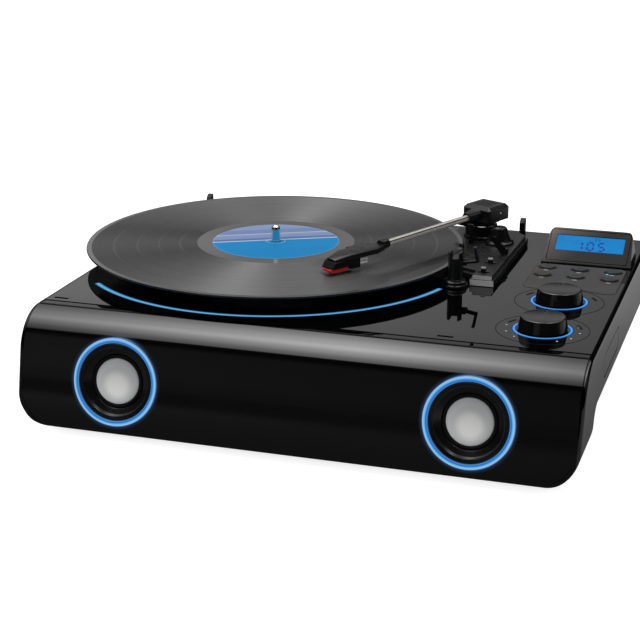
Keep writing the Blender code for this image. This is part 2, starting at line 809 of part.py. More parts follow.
def deck_plate():
    """The flat deck with its grooves, notches and holes."""
    outline = rectangle(
        LEFT + WALL + GAP, SEAM_Y + GAP / 2, RIGHT - WALL - GAP, BACK - WALL - GAP)
    deck = piece("top_deck", "gloss_black", prism(outline, DECK_Z - DECK_THICKNESS, DECK_Z))
    groove_floor = DECK_Z - GROOVE_DEPTH
    above = DECK_Z + OVERRUN
    shallow = [
        prism(band(
            PLATTER_X, PLATTER_Y, LIGHT_ARC_RADIUS - GAP, LIGHT_ARC_RADIUS + LIGHT_ARC_WIDTH + GAP,
            LIGHT_ARC_START, LIGHT_ARC_END, LIGHT_ARC_STEPS), groove_floor, above),
        prism(panel_outline(GAP), DECK_Z - PANEL_SINK, above),
    ]
    ring_outer = KNOB_RING_RADIUS + KNOB_RING_WIDTH + GAP
    for y in (FUNCTION_KNOB_FROM_PLATTER, VOLUME_KNOB_FROM_PLATTER):
        shallow.append(turned(
            ring_profile(KNOB_RING_RADIUS - GAP, ring_outer, groove_floor, above),
            KNOB_STEPS, at=(KNOB_X, PLATTER_Y + y, 0)))
    notch_y = SEAM_Y + NOTCH_FROM_SEAM
    for x in (PLATTER_X - NOTCH_LEFT_FROM_PLATTER, PLATTER_X + NOTCH_RIGHT_FROM_PLATTER):
        shallow.append(box(
            (x - NOTCH_LENGTH / 2, notch_y, DECK_Z - NOTCH_DEPTH),
            (x + NOTCH_LENGTH / 2, notch_y + NOTCH_WIDTH, above)))
    boolean(deck, group("deck_groove_tool", "gloss_black", shallow))
    below = DECK_Z - DECK_THICKNESS - OVERRUN
    sleeve_hole = SPINDLE_RADIUS + GAP + SLEEVE_WALL + GAP
    through = [
        prism(circle(PLATTER_X, PLATTER_Y, sleeve_hole, TUBE_STEPS), below, above),
        prism(circle(MOTOR_X, MOTOR_Y, MOTOR_HOLE_RADIUS, TUBE_STEPS), below, above),
    ]
    through += button_holes(below, above)
    for y in (FUNCTION_KNOB_FROM_PLATTER, VOLUME_KNOB_FROM_PLATTER):
        through.append(prism(
            circle(KNOB_X, PLATTER_Y + y, KNOB_SHAFT_RADIUS + GAP, TUBE_STEPS), below, above))
    boolean(deck, group("deck_hole_tool", "gloss_black", through))


def button_places():
    """The middle of each push button, row by row from the rear."""
    return [
        (CONTROL_X + column * BUTTON_SPACING, PLATTER_Y + row)
        for row in BUTTON_ROWS_FROM_PLATTER for column in (-1, 0, 1)
    ]


def button_holes(low, high):
    """Oval holes that the push buttons pass through."""
    return [
        prism(
            ellipse(x, y, BUTTON_HALF_WIDTH + GAP, BUTTON_HALF_DEPTH + GAP, BUTTON_STEPS), low, high)
        for x, y in button_places()
    ]


def panel_outline(grow):
    """The control panel from above: round corners and a shallow dip at the front."""
    left = CONTROL_X - PANEL_WIDTH / 2 - grow
    right = CONTROL_X + PANEL_WIDTH / 2 + grow
    back = PLATTER_Y + PANEL_BACK_FROM_PLATTER + grow
    front = PLATTER_Y + PANEL_FRONT_FROM_PLATTER - grow
    outline = rounded_rectangle(left, front, right, back, PANEL_CORNER)
    dip_half = (right - left) / 2 - PANEL_CORNER
    dip = [
        ((left + right) / 2 + dip_half * t, front + PANEL_DIP * (1 + math.cos(HALF_TURN * t)) / 2)
        for t in PANEL_DIP_SHARES
    ]
    middle = len(outline) * 3 // 4
    return outline[:middle] + dip + outline[middle:]


def front_face():
    """The gloss panel over the nose and down the front, with two speaker holes."""
    outline = skin_band(0, DECK_THICKNESS, SEAM_Y - GAP / 2, FOOT_HEIGHT + FRONT_LIP + GAP)
    panel = piece(
        "front_panel", "gloss_black",
        prism(outline, LEFT + WALL + GAP, RIGHT - WALL - GAP, "X"))
    boolean(panel, corner_tool(WALL + GAP))
    for x in speaker_places():
        hole = link_mesh("speaker_hole_tool", turned(
            [(0, -NOSE_RADIUS), (SPEAKER_RING_RADIUS + GAP, -NOSE_RADIUS),
             (SPEAKER_RING_RADIUS + GAP, NOSE_RADIUS), (0, NOSE_RADIUS)],
            SPEAKER_STEPS, "Y"))
        boolean(panel, hole)
        hole.location = (x, face_y(SPEAKER_Z), SPEAKER_Z)
        hole.rotation_euler = (-FRONT_TILT, 0, 0)


def speaker_places():
    """Where the two speakers are from side to side."""
    return (LEFT + SPEAKER_FROM_SIDE, RIGHT - SPEAKER_FROM_SIDE)


def speakers():
    """Light ring, driver and moving cone on each side."""
    ring_inner = SPEAKER_RING_RADIUS - SPEAKER_RING_WIDTH
    flange = SPEAKER_RING_DEPTH + GAP
    bezel = ring_inner - GAP
    driver_outline = [
        (bezel, 0),
        (bezel, flange),
        (SPEAKER_FLANGE_RADIUS, flange),
        (SPEAKER_FLANGE_RADIUS, flange + SPEAKER_FLANGE_THICKNESS),
        ((SPEAKER_FLANGE_RADIUS + SPEAKER_MAGNET_RADIUS) / 2, flange + SPEAKER_FLANGE_THICKNESS),
        (SPEAKER_MAGNET_RADIUS, SPEAKER_BASKET_DEPTH),
        (SPEAKER_MAGNET_RADIUS, SPEAKER_MAGNET_DEPTH),
        (0, SPEAKER_MAGNET_DEPTH),
        (0, SPEAKER_POLE_DEPTH),
        (SPEAKER_POLE_RADIUS, SPEAKER_POLE_DEPTH),
        (SPEAKER_THROAT_RADIUS, SPEAKER_THROAT_BOTTOM),
        (SPEAKER_THROAT_RADIUS, SPEAKER_THROAT_TOP),
        (bezel - SPEAKER_BEZEL_LIP, SPEAKER_THROAT_TOP / 2),
        (bezel - SPEAKER_BEZEL_LIP, SPEAKER_BEZEL_LIP_DEPTH),
    ]
    dome_edge = DOME_SINK + DOME_HEIGHT
    dome = [
        (DOME_RADIUS * math.sin(HALF_TURN / 2 * i / DOME_STEPS),
         dome_edge - DOME_HEIGHT * math.cos(HALF_TURN / 2 * i / DOME_STEPS))
        for i in range(1, DOME_STEPS + 1)
    ]
    rim = SPEAKER_THROAT_RADIUS - GAP
    middle = (DOME_RADIUS + rim) / 2
    cone_outline = [(0, DOME_SINK)] + dome + [
        (middle, dome_edge - SURROUND_RISE),
        (rim, dome_edge),
        (rim, dome_edge + CONE_THICKNESS),
        (0, dome_edge + CONE_THICKNESS),
    ]
    for side, x in zip(("left", "right"), speaker_places()):
        axis = axis_empty(
            "speaker_axis_" + side, (x, face_y(SPEAKER_Z), SPEAKER_Z), (-FRONT_TILT, 0, 0))
        light = piece("speaker_light_ring_" + side, "blue_light", turned(
            ring_profile(ring_inner, SPEAKER_RING_RADIUS, -SPEAKER_RING_PROUD, SPEAKER_RING_DEPTH),
            SPEAKER_STEPS, "Y"))
        driver = piece(
            "speaker_driver_" + side, "satin_black", turned(driver_outline, SPEAKER_STEPS, "Y"))
        cone = piece("speaker_cone_" + side, "silver", turned(cone_outline, SPEAKER_STEPS, "Y"))
        carry(axis, light, driver, cone)


def underside():
    """The tray under the cabinet and the four rubber feet."""
    top = BODY_Z - GAP
    tray = piece("bottom_cover", "satin_black", box(
        (TRAY_X[0], TRAY_Y[0], FOOT_HEIGHT), (TRAY_X[1], TRAY_Y[1], top)))
    boolean(tray, box(
        (TRAY_X[0] + TRAY_WALL, TRAY_Y[0] + TRAY_WALL, FOOT_HEIGHT + TRAY_WALL),
        (TRAY_X[1] - TRAY_WALL, TRAY_Y[1] - TRAY_WALL, top + OVERRUN)))
    foot_outline = [
        (0, 0), (FOOT_RADIUS - FOOT_TAPER, 0), (FOOT_RADIUS, FOOT_HEIGHT - GAP), (0, FOOT_HEIGHT - GAP)]
    across = (("left", LEFT + FOOT_FROM_SIDE + FOOT_RADIUS), ("right", RIGHT - FOOT_FROM_SIDE - FOOT_RADIUS))
    along = (("front", FRONT + FRONT_FOOT_FROM_FRONT), ("rear", TRAY_Y[1] - REAR_FOOT_FROM_TRAY))
    for side, x in across:
        for end, y in along:
            piece("foot_" + end + "_" + side, "rubber", turned(foot_outline, ROUND_STEPS)).location = (x, y, 0)


def light_arc():
    """The curved light guide in the deck."""
    outline = band(
        PLATTER_X, PLATTER_Y, LIGHT_ARC_RADIUS, LIGHT_ARC_RADIUS + LIGHT_ARC_WIDTH,
        LIGHT_ARC_START + GAP / LIGHT_ARC_RADIUS, LIGHT_ARC_END - GAP / LIGHT_ARC_RADIUS,
        LIGHT_ARC_STEPS)
    piece("led_light_arc", "blue_light", prism(
        outline, DECK_Z - GROOVE_DEPTH + GAP, DECK_Z - LIGHT_ARC_SINK))


def cover_hinge_lugs():
    """Two lugs at the rear edge, where a dust cover would hang."""
    back = BACK - LUG_FROM_BACK
    front = back - LUG_DEPTH
    low = DECK_Z + GAP
    side = [
        (front, low), (back, low), (back, low + LUG_HEIGHT),
        ((front + back) / 2, low + LUG_HEIGHT), (front, low + LUG_HEIGHT - LUG_SLOPE),
    ]
    places = (
        ("left", PLATTER_X - LUG_LEFT_FROM_PLATTER),
        ("right", PLATTER_X + LUG_RIGHT_FROM_PLATTER),
    )
    for name, x in places:
        lug = prism(side, x - LUG_WIDTH / 2, x + LUG_WIDTH / 2, "X")
        piece("hinge_lug_" + name, "satin_black", lug)


def drive():
    """Platter, record and spindle, with the motor that turns them by a belt."""
    centre = (PLATTER_X, PLATTER_Y, DECK_Z)
    axis = axis_empty("platter_axis", centre)
    bore = SPINDLE_RADIUS + GAP
    web = PLATTER_TOP - PLATTER_WEB
    ring_inner = BELT_RING_RADIUS - BELT_RING_WIDTH
    rim_inner = PLATTER_RADIUS - PLATTER_RIM_WIDTH
    platter = piece("platter", "satin_black", turned([
        (bore, PLATTER_HUB_BOTTOM), (PLATTER_HUB_RADIUS, PLATTER_HUB_BOTTOM),
        (PLATTER_HUB_RADIUS, web), (ring_inner, web),
        (ring_inner, BELT_RING_BOTTOM), (BELT_RING_RADIUS, BELT_RING_BOTTOM),
        (BELT_RING_RADIUS, web), (rim_inner, web),
        (rim_inner, PLATTER_RIM_BOTTOM), (PLATTER_RADIUS, PLATTER_RIM_BOTTOM),
        (PLATTER_RADIUS, PLATTER_TOP), (bore, PLATTER_TOP),
    ], PLATTER_STEPS))
    record = piece("record", "vinyl", turned([
        (bore, RECORD_BOTTOM), (RECORD_RADIUS - RECORD_EDGE, RECORD_BOTTOM),
        (RECORD_RADIUS, RECORD_BOTTOM + RECORD_EDGE), (RECORD_RADIUS, RECORD_TOP - RECORD_EDGE),
        (RECORD_RADIUS - RECORD_EDGE, RECORD_TOP), (bore, RECORD_TOP),
    ], RECORD_STEPS))
    tip = SPINDLE_RADIUS * SPINDLE_TIP_SHARE
    shoulder = SPINDLE_TOP - SPINDLE_TIP_HEIGHT
    spindle = piece("spindle", "chrome", turned([
        (0, -SPINDLE_DEPTH), (SPINDLE_RADIUS, -SPINDLE_DEPTH), (SPINDLE_RADIUS, shoulder),
        ((SPINDLE_RADIUS * 2 + tip) / 3, shoulder + SPINDLE_TIP_HEIGHT * 2 / 3),
        (tip, SPINDLE_TOP), (0, SPINDLE_TOP),
    ], TUBE_STEPS))
    carry(axis, platter, record, spindle)

    sleeve_outer = bore + SLEEVE_WALL
    flange_top = -DECK_THICKNESS - GAP
    flange_bottom = flange_top - SLEEVE_FLANGE_THICKNESS
    piece("bearing_sleeve", "brass", turned([
        (bore, -SPINDLE_DEPTH), (sleeve_outer, -SPINDLE_DEPTH), (sleeve_outer, flange_bottom),
        (SLEEVE_FLANGE_RADIUS, flange_bottom), (SLEEVE_FLANGE_RADIUS, flange_top),
        (sleeve_outer, flange_top), (sleeve_outer, SLEEVE_TOP), (bore, SLEEVE_TOP),
    ], TUBE_STEPS)).location = centre

    motor_at = (MOTOR_X, MOTOR_Y, DECK_Z)
    motor_axis = axis_empty("motor_axis", motor_at)
    pulley_bore = MOTOR_SHAFT_RADIUS + GAP
    pulley_flange = PULLEY_RADIUS + PULLEY_FLANGE
    pulley = piece("motor_pulley", "brass", turned([
        (pulley_bore, PULLEY_BOTTOM), (pulley_flange, PULLEY_BOTTOM),
        (pulley_flange, BELT_BOTTOM - GAP), (PULLEY_RADIUS, BELT_BOTTOM - GAP),
        (PULLEY_RADIUS, BELT_TOP + GAP), (pulley_flange, BELT_TOP + GAP),
        (pulley_flange, PULLEY_TOP), (pulley_bore, PULLEY_TOP),
    ], TUBE_STEPS))
    carry(motor_axis, pulley)
    motor_top = -DECK_THICKNESS - GAP
    piece("drive_motor", "steel", turned([
        (0, motor_top - MOTOR_HEIGHT), (MOTOR_RADIUS, motor_top - MOTOR_HEIGHT),
        (MOTOR_RADIUS, motor_top), (MOTOR_SHAFT_RADIUS, motor_top),
        (MOTOR_SHAFT_RADIUS, MOTOR_SHAFT_TOP), (0, MOTOR_SHAFT_TOP),
    ], ROUND_STEPS)).location = motor_at
    belt()


def belt_outline(thickness):
    """The belt round the platter's ring and the pulley, grown by a thickness."""
    lean = math.acos((BELT_RING_RADIUS - PULLEY_RADIUS) / MOTOR_FROM_PLATTER)
    large = BELT_RING_RADIUS + GAP + thickness
    small = PULLEY_RADIUS + GAP + thickness
    return (
        arc((PLATTER_X, PLATTER_Y), large, large,
            MOTOR_ANGLE + lean, MOTOR_ANGLE - lean + FULL_TURN, PLATTER_STEPS)
        + arc((MOTOR_X, MOTOR_Y), small, small, MOTOR_ANGLE - lean, MOTOR_ANGLE + lean, PIN_STEPS)
    )


def belt():
    """The flat rubber belt."""
    low = DECK_Z + BELT_BOTTOM
    high = DECK_Z + BELT_TOP
    inner = belt_outline(0)
    outer = belt_outline(BELT_THICKNESS)
    bm = bmesh.new()
    rings = []
    for outline, level in ((inner, low), (outer, low), (outer, high), (inner, high)):
        rings.append([bm.verts.new((x, y, level)) for x, y in outline])
    count = len(inner)
    for ring, following in zip(rings, rings[1:] + rings[:1]):
        for i in range(count):
            j = (i + 1) % count
            bm.faces.new((ring[i], ring[j], following[j], following[i]))
    piece("drive_belt", "rubber", bm)


def display():
    """The tilted display with its frame and its module."""
    front = PLATTER_Y + DISPLAY_FRONT_FROM_PLATTER
    low = DECK_Z + GAP
    top = low + DISPLAY_LIP + DISPLAY_RISE
    face_start = front + DISPLAY_LIP
    face_end = face_start + DISPLAY_RUN
    profile = [
        (front, low), (face_end + DISPLAY_REAR, low), (face_end + DISPLAY_REAR / 4, top),
        (face_end, top), (face_start, low + DISPLAY_LIP), (front, low + DISPLAY_LIP),
    ]
    left = CONTROL_X - DISPLAY_LEFT_WIDTH
    right = CONTROL_X + DISPLAY_RIGHT_WIDTH
    flank_share = (0, 0, 1, 1, 0, 0)
    sections = []
    for x, side in ((left, 1), (right, -1)):
        sections.append([
            (x + side * DISPLAY_FLANK * share, y, z) for (y, z), share in zip(profile, flank_share)])
    housing = piece("lcd_housing", "gloss_black", loft(sections))
    slope = math.atan2(DISPLAY_RISE, DISPLAY_RUN)
    middle = ((left + right) / 2, (face_start + face_end) / 2, low + DISPLAY_LIP + DISPLAY_RISE / 2)
    axis = axis_empty("display_face", middle, (slope, 0, 0))
    frame_half = (FRAME_WIDTH / 2, FRAME_LENGTH / 2)
    module_half = (MODULE_WIDTH / 2, MODULE_LENGTH / 2)
    recess = FRAME_THICKNESS + GAP

    def window(grow, low, high):
        centre = (MODULE_RIGHT_OF_MIDDLE, MODULE_ABOVE_MIDDLE)
        return box(
            (centre[0] - module_half[0] - grow, centre[1] - module_half[1] - grow, low),
            (centre[0] + module_half[0] + grow, centre[1] + module_half[1] + grow, high))

    tools = (
        box((-frame_half[0] - GAP, -frame_half[1] - GAP, -recess),
            (frame_half[0] + GAP, frame_half[1] + GAP, FRAME_THICKNESS)),
        window(GAP, -recess - MODULE_THICKNESS, -recess / 2),
    )
    for tool in tools:
        boolean(housing, tool).parent = axis
    frame = piece("lcd_frame", "gloss_black", box(
        (-frame_half[0], -frame_half[1], -FRAME_THICKNESS), (*frame_half, 0)))
    boolean(frame, window(GAP, -recess, OVERRUN))
    module = piece(
        "lcd_module", "display", window(0, GAP - recess - MODULE_THICKNESS, -FRAME_THICKNESS / 2))
    carry(axis, frame, module)


BUTTON_NAMES = (
    "play_button", "stop_button", "skip_up_button",
    "program_button", "preset_button", "skip_down_button",
)


def controls():
    """Control panel, push buttons, knobs, their light rings and what they turn."""
    panel = piece("control_panel", "gloss_black", prism(
        panel_outline(0), DECK_Z - PANEL_SINK + GAP, DECK_Z + PANEL_PROUD))
    panel_holes = button_holes(DECK_Z - PANEL_SINK - OVERRUN, DECK_Z + OVERRUN)
    boolean(panel, group("panel_hole_tool", "gloss_black", panel_holes))
    flange_top = -DECK_THICKNESS - GAP
    flange_bottom = flange_top - BUTTON_FLANGE_THICKNESS
    levels = (
        (flange_bottom - BUTTON_PIN_LENGTH, None),
        (flange_bottom, None),
        (flange_bottom, BUTTON_FLANGE),
        (flange_top, BUTTON_FLANGE),
        (flange_top, 0),
        (BUTTON_TOP - BUTTON_CROWN, 0),
        (BUTTON_TOP, -BUTTON_CROWN),
    )
    for name, (x, y) in zip(BUTTON_NAMES, button_places()):
        sections = []
        for height, grow in levels:
            if grow is None:
                outline = ellipse(0, 0, BUTTON_PIN_RADIUS, BUTTON_PIN_RADIUS, BUTTON_STEPS)
            else:
                outline = ellipse(
                    0, 0, BUTTON_HALF_WIDTH + grow, BUTTON_HALF_DEPTH + grow, BUTTON_STEPS)
            sections.append([(px, py, height) for px, py in outline])
        piece(name, "satin_black", loft(sections)).location = (x, y, DECK_Z)

    knobs = (
        ("function", "rotary_switch", FUNCTION_KNOB_FROM_PLATTER),
        ("volume", "volume_potentiometer", VOLUME_KNOB_FROM_PLATTER),
    )
    for name, turner, offset in knobs:
        at = (KNOB_X, PLATTER_Y + offset, DECK_Z)
        knob = piece(name + "_knob", "gloss_black", turned([
            (0, -KNOB_SHAFT_DEPTH), (KNOB_SHAFT_RADIUS, -KNOB_SHAFT_DEPTH),
            (KNOB_SHAFT_RADIUS, KNOB_BOTTOM), (KNOB_BASE_RADIUS, KNOB_BOTTOM),
            (KNOB_TOP_RADIUS, KNOB_TOP - KNOB_EDGE), (KNOB_TOP_RADIUS - KNOB_EDGE, KNOB_TOP),
            (0, KNOB_TOP),
        ], KNOB_STEPS))
        boolean(knob, box(
            (-KNOB_POINTER_WIDTH / 2, KNOB_TOP_RADIUS * KNOB_POINTER_SHARE,
             KNOB_TOP - KNOB_POINTER_DEPTH),
            (KNOB_POINTER_WIDTH / 2, KNOB_BASE_RADIUS, KNOB_TOP + OVERRUN)))
        carry(axis_empty(name + "_knob_axis", at), knob)
        piece(name + "_knob_light_ring", "blue_light", turned(
            ring_profile(
                KNOB_RING_RADIUS, KNOB_RING_RADIUS + KNOB_RING_WIDTH,
                GAP - GROOVE_DEPTH, KNOB_RING_PROUD),
            KNOB_STEPS)).location = at
        bore = KNOB_SHAFT_RADIUS + GAP
        piece(turner, "steel", turned([
            (0, -POT_BOTTOM), (POT_RADIUS, -POT_BOTTOM), (POT_RADIUS, flange_top),
            (bore, flange_top), (bore, -KNOB_SHAFT_DEPTH - GAP), (0, -KNOB_SHAFT_DEPTH - GAP),
        ], ROUND_STEPS)).location = at

    switch_top = DECK_Z + flange_bottom - BUTTON_PIN_LENGTH - BUTTON_TRAVEL - GAP
    half = TACT_SIZE / 2
    tacts = [
        box((x - half, y - half, BOARD_TOP - BOARD_THICKNESS / 2), (x + half, y + half, switch_top))
        for x, y in button_places()
    ]
    board = piece("main_circuit_board", "board_green", box(
        (CONTROL_X - BOARD_WIDTH / 2, SEAM_Y + BOARD_FROM_SEAM, BOARD_TOP - BOARD_THICKNESS),
        (CONTROL_X + BOARD_WIDTH / 2, PLATTER_Y + PANEL_BACK_FROM_PLATTER, BOARD_TOP)))
    boolean(board, group("tact_tool", "board_green", tacts), "UNION")


def base_outline(inset):
    """The tonearm base from above; its left side clears the platter."""
    x = PLATTER_X
    y = PLATTER_Y
    width = BASE_STRIP_LEFT - BASE_LEFT
    length = BASE_BACK - BASE_FRONT
    points = [
        (x + BASE_STRIP_LEFT + inset, y + BASE_FRONT + inset),
        (x + BASE_RIGHT - inset, y + BASE_FRONT + inset),
        (x + BASE_RIGHT + BASE_FLARE - inset, y + BASE_BACK - BASE_CUT - inset),
        (x + BASE_RIGHT + BASE_FLARE - BASE_CUT - inset, y + BASE_BACK - inset),
        (x + BASE_LEFT + inset, y + BASE_BACK - inset),
    ]
    for across, along in BASE_BEND_SHARES:
        points.append((x + BASE_LEFT + across * width + inset, y + BASE_FRONT + along * length + inset))
    return points


def arm_base():
    """The stepped plate beside the record and what stands fixed on it."""
    base = piece(
        "tonearm_base", "satin_black",
        prism(base_outline(0), DECK_Z + GAP, DECK_Z + BASE_LOWER),
        prism(base_outline(BASE_STEP), DECK_Z + BASE_LOWER / 2, DECK_Z + BASE_HEIGHT))
    lever_x = PEDESTAL_AT[0] + LEVER_FROM_PIVOT_X
    lever_y = PEDESTAL_AT[1] + LEVER_FROM_PIVOT_Y
    ear_front = lever_y + LEVER_THICKNESS / 2 + GAP
    ear_back = ear_front + LEVER_EAR_THICKNESS
    ear = link_mesh("lever_ear_tool", box(
        (lever_x - LEVER_EAR_LENGTH / 2, ear_front, DECK_Z + BASE_LOWER),
        (lever_x + LEVER_EAR_LENGTH / 2, ear_back, DECK_Z + LEVER_HEIGHT + LEVER_HUB_RADIUS)))
    boolean(base, ear, "UNION")
    boolean(base, prism(
        circle(lever_x, DECK_Z + LEVER_HEIGHT, LEVER_PIN_RADIUS + GAP, PIN_STEPS),
        ear_front - OVERRUN, ear_back + OVERRUN, "Y"))
    slots = []
    for y in (SPEED_SWITCH_Y, STOP_SWITCH_Y):
        half_x = SWITCH_LENGTH / 2 + SWITCH_TRAVEL + GAP
        half_y = SWITCH_DEPTH / 2 + GAP
        slots.append(box(
            (PLATTER_X + SWITCH_X - half_x, PLATTER_Y + y - half_y,
             DECK_Z + BASE_HEIGHT - SWITCH_SINK - GAP),
            (PLATTER_X + SWITCH_X + half_x, PLATTER_Y + y + half_y, DECK_Z + BASE_HEIGHT + OVERRUN)))
    post_x, post_y = lifter_place()
    slots.append(prism(
        circle(post_x, post_y, LIFTER_POST_RADIUS + GAP, PIN_STEPS),
        DECK_Z + LIFTER_POST_FOOT - GAP, DECK_Z + BASE_HEIGHT + OVERRUN))
    boolean(base, group("base_slot_tool", "satin_black", slots))

    foot = BASE_HEIGHT + GAP
    shaft_bore = YOKE_SHAFT_RADIUS + GAP
    piece("arm_pedestal", "satin_black", turned([
        (0, foot), (PEDESTAL_RADIUS + PEDESTAL_FOOT, foot),
        (PEDESTAL_RADIUS + PEDESTAL_FOOT, foot + PEDESTAL_FOOT_HEIGHT),
        (PEDESTAL_RADIUS, foot + PEDESTAL_FOOT_HEIGHT), (PEDESTAL_RADIUS, PEDESTAL_TOP),
        (shaft_bore, PEDESTAL_TOP), (shaft_bore, PEDESTAL_TOP - YOKE_SHAFT_DEPTH),
        (0, PEDESTAL_TOP - YOKE_SHAFT_DEPTH),
    ], PEDESTAL_STEPS)).location = (*PEDESTAL_AT, DECK_Z)

    cap_at = (
        PEDESTAL_AT[0] + CAP_FROM_PIVOT_X, PEDESTAL_AT[1] + CAP_FROM_PIVOT_Y, DECK_Z + foot)
    profile = [(0, 0)]
    profile += [(CAP_RADIUS * across, CAP_HEIGHT * up) for across, up in CAP_PROFILE_SHARES]
    profile.append((0, CAP_HEIGHT))
    cap = piece("cue_damper_cap", "satin_black", turned(profile, CAP_STEPS))
    cap.location = cap_at
    boolean(cap, prism(
        circle(
            -CAP_FROM_PIVOT_X, -CAP_FROM_PIVOT_Y, PEDESTAL_RADIUS + PEDESTAL_FOOT + GAP, CAP_STEPS),
        -OVERRUN, CAP_HEIGHT + OVERRUN)).location = cap_at

    for name, y in (("speed_switch", SPEED_SWITCH_Y), ("auto_stop_switch", STOP_SWITCH_Y)):
        knob = piece(name, "pale_cap", box(
            (-SWITCH_LENGTH / 2, -SWITCH_DEPTH / 2, BASE_HEIGHT - SWITCH_SINK),
            (SWITCH_LENGTH / 2, SWITCH_DEPTH / 2, SWITCH_TOP)))
        knob.location = (PLATTER_X + SWITCH_X, PLATTER_Y + y, DECK_Z)


def lifter_place():
    """Where the lifter's post goes down through the base."""
    return (
        PEDESTAL_AT[0] - LIFTER_RADIUS * math.sin(LIFTER_POST_ANGLE),
        PEDESTAL_AT[1] - LIFTER_RADIUS * math.cos(LIFTER_POST_ANGLE),
    )


def cueing():
    """The curved bar that raises the arm, and the lever that works it."""
    middle = -HALF_TURN / 2
    post_x, post_y = lifter_place()
    bar = band(
        PEDESTAL_AT[0] - post_x, PEDESTAL_AT[1] - post_y,
        LIFTER_RADIUS - LIFTER_WIDTH / 2, LIFTER_RADIUS + LIFTER_WIDTH / 2,
        middle - LIFTER_END, middle - LIFTER_START, LIFTER_STEPS)
    lifter = piece(
        "cue_lifter", "satin_black",
        prism(bar, LIFTER_TOP - LIFTER_THICKNESS, LIFTER_TOP),
        turned([
            (0, LIFTER_POST_FOOT), (LIFTER_POST_RADIUS, LIFTER_POST_FOOT),
            (LIFTER_POST_RADIUS, LIFTER_TOP - LIFTER_THICKNESS / 2),
            (0, LIFTER_TOP - LIFTER_THICKNESS / 2),
        ], PIN_STEPS))
    carry(axis_empty("cue_lifter_axis", (post_x, post_y, DECK_Z)), lifter)

    lever_at = (
        PEDESTAL_AT[0] + LEVER_FROM_PIVOT_X, PEDESTAL_AT[1] + LEVER_FROM_PIVOT_Y,
        DECK_Z + LEVER_HEIGHT)
    half = LEVER_THICKNESS / 2
    tip = (-LEVER_LENGTH * math.sin(LEVER_LEAN), LEVER_LENGTH * math.cos(LEVER_LEAN))
    lever = piece(
        "cue_lever", "satin_black",
        prism(bar_outline((0, 0), tip, LEVER_HUB_RADIUS, LEVER_TIP_RADIUS), -half, half, "Y"),
        prism(circle(0, 0, LEVER_PIN_RADIUS, PIN_STEPS), 0, half + GAP + LEVER_EAR_THICKNESS, "Y"))
    carry(axis_empty("cue_lever_axis", lever_at), lever)


def arm():
    """The arm: a yoke that swings, and a housing, tube and headshell that tip on its pin."""
    swing = axis_empty("arm_swing_axis", (*PEDESTAL_AT, DECK_Z), (0, 0, -ARM_ANGLE))
    yoke = piece(
        "arm_yoke", "satin_black",
        turned([
            (0, PEDESTAL_TOP - YOKE_SHAFT_DEPTH + GAP),
            (YOKE_SHAFT_RADIUS, PEDESTAL_TOP - YOKE_SHAFT_DEPTH + GAP),
            (YOKE_SHAFT_RADIUS, PEDESTAL_TOP + GAP), (YOKE_RADIUS, PEDESTAL_TOP + GAP),
            (YOKE_RADIUS, YOKE_TOP), (0, YOKE_TOP),
        ], PEDESTAL_STEPS))
    ear_top = PIN_HEIGHT + EAR_TOP_MARGIN
    ears = [
        box((side * EAR_FROM_MIDDLE - EAR_THICKNESS / 2, PIN_BACK - EAR_LENGTH / 2,
             (YOKE_TOP + PEDESTAL_TOP) / 2),
            (side * EAR_FROM_MIDDLE + EAR_THICKNESS / 2, PIN_BACK + EAR_LENGTH / 2, ear_top))
        for side in (-1, 1)
    ]
    boolean(yoke, group("yoke_ear_tool", "satin_black", ears), "UNION")
    bore = prism(
        circle(PIN_BACK, PIN_HEIGHT, PIN_RADIUS + PIN_CLEARANCE, PIN_STEPS),
        -HOUSING_WIDTH, HOUSING_WIDTH, "X")
    boolean(yoke, bore)
    pin_half = HOUSING_WIDTH / 2 - GAP
    pin = piece("arm_pivot_pin", "chrome", prism(
        circle(PIN_BACK, PIN_HEIGHT, PIN_RADIUS, PIN_STEPS), -pin_half, pin_half, "X"))
    carry(swing, yoke, pin)

    lift = axis_empty("arm_lift_axis", (0, PIN_BACK, PIN_HEIGHT), parent=swing)
    carry(lift, *arm_housing_and_tube())
    shell_axis = axis_empty(
        "headshell_axis", (0, -TUBE_END, TUBE_ABOVE_PIN), (0, 0, -SHELL_OFFSET_ANGLE), lift)
    carry(shell_axis, *headshell_pieces())


def housing_outline(inset):
    """The arm's housing from above, with cut corners."""
    half = HOUSING_WIDTH / 2 - inset
    front = -HOUSING_FRONT + inset
    rear = HOUSING_REAR - inset
    cut = HOUSING_CORNER - inset / 2
    rear_cut = HOUSING_REAR_CORNER - inset / 2
    return [
        (-half + cut, front), (half - cut, front), (half, front + cut), (half, rear - rear_cut),
        (half - rear_cut, rear), (-half + rear_cut, rear), (-half, rear - rear_cut),
        (-half, front + cut),
    ]


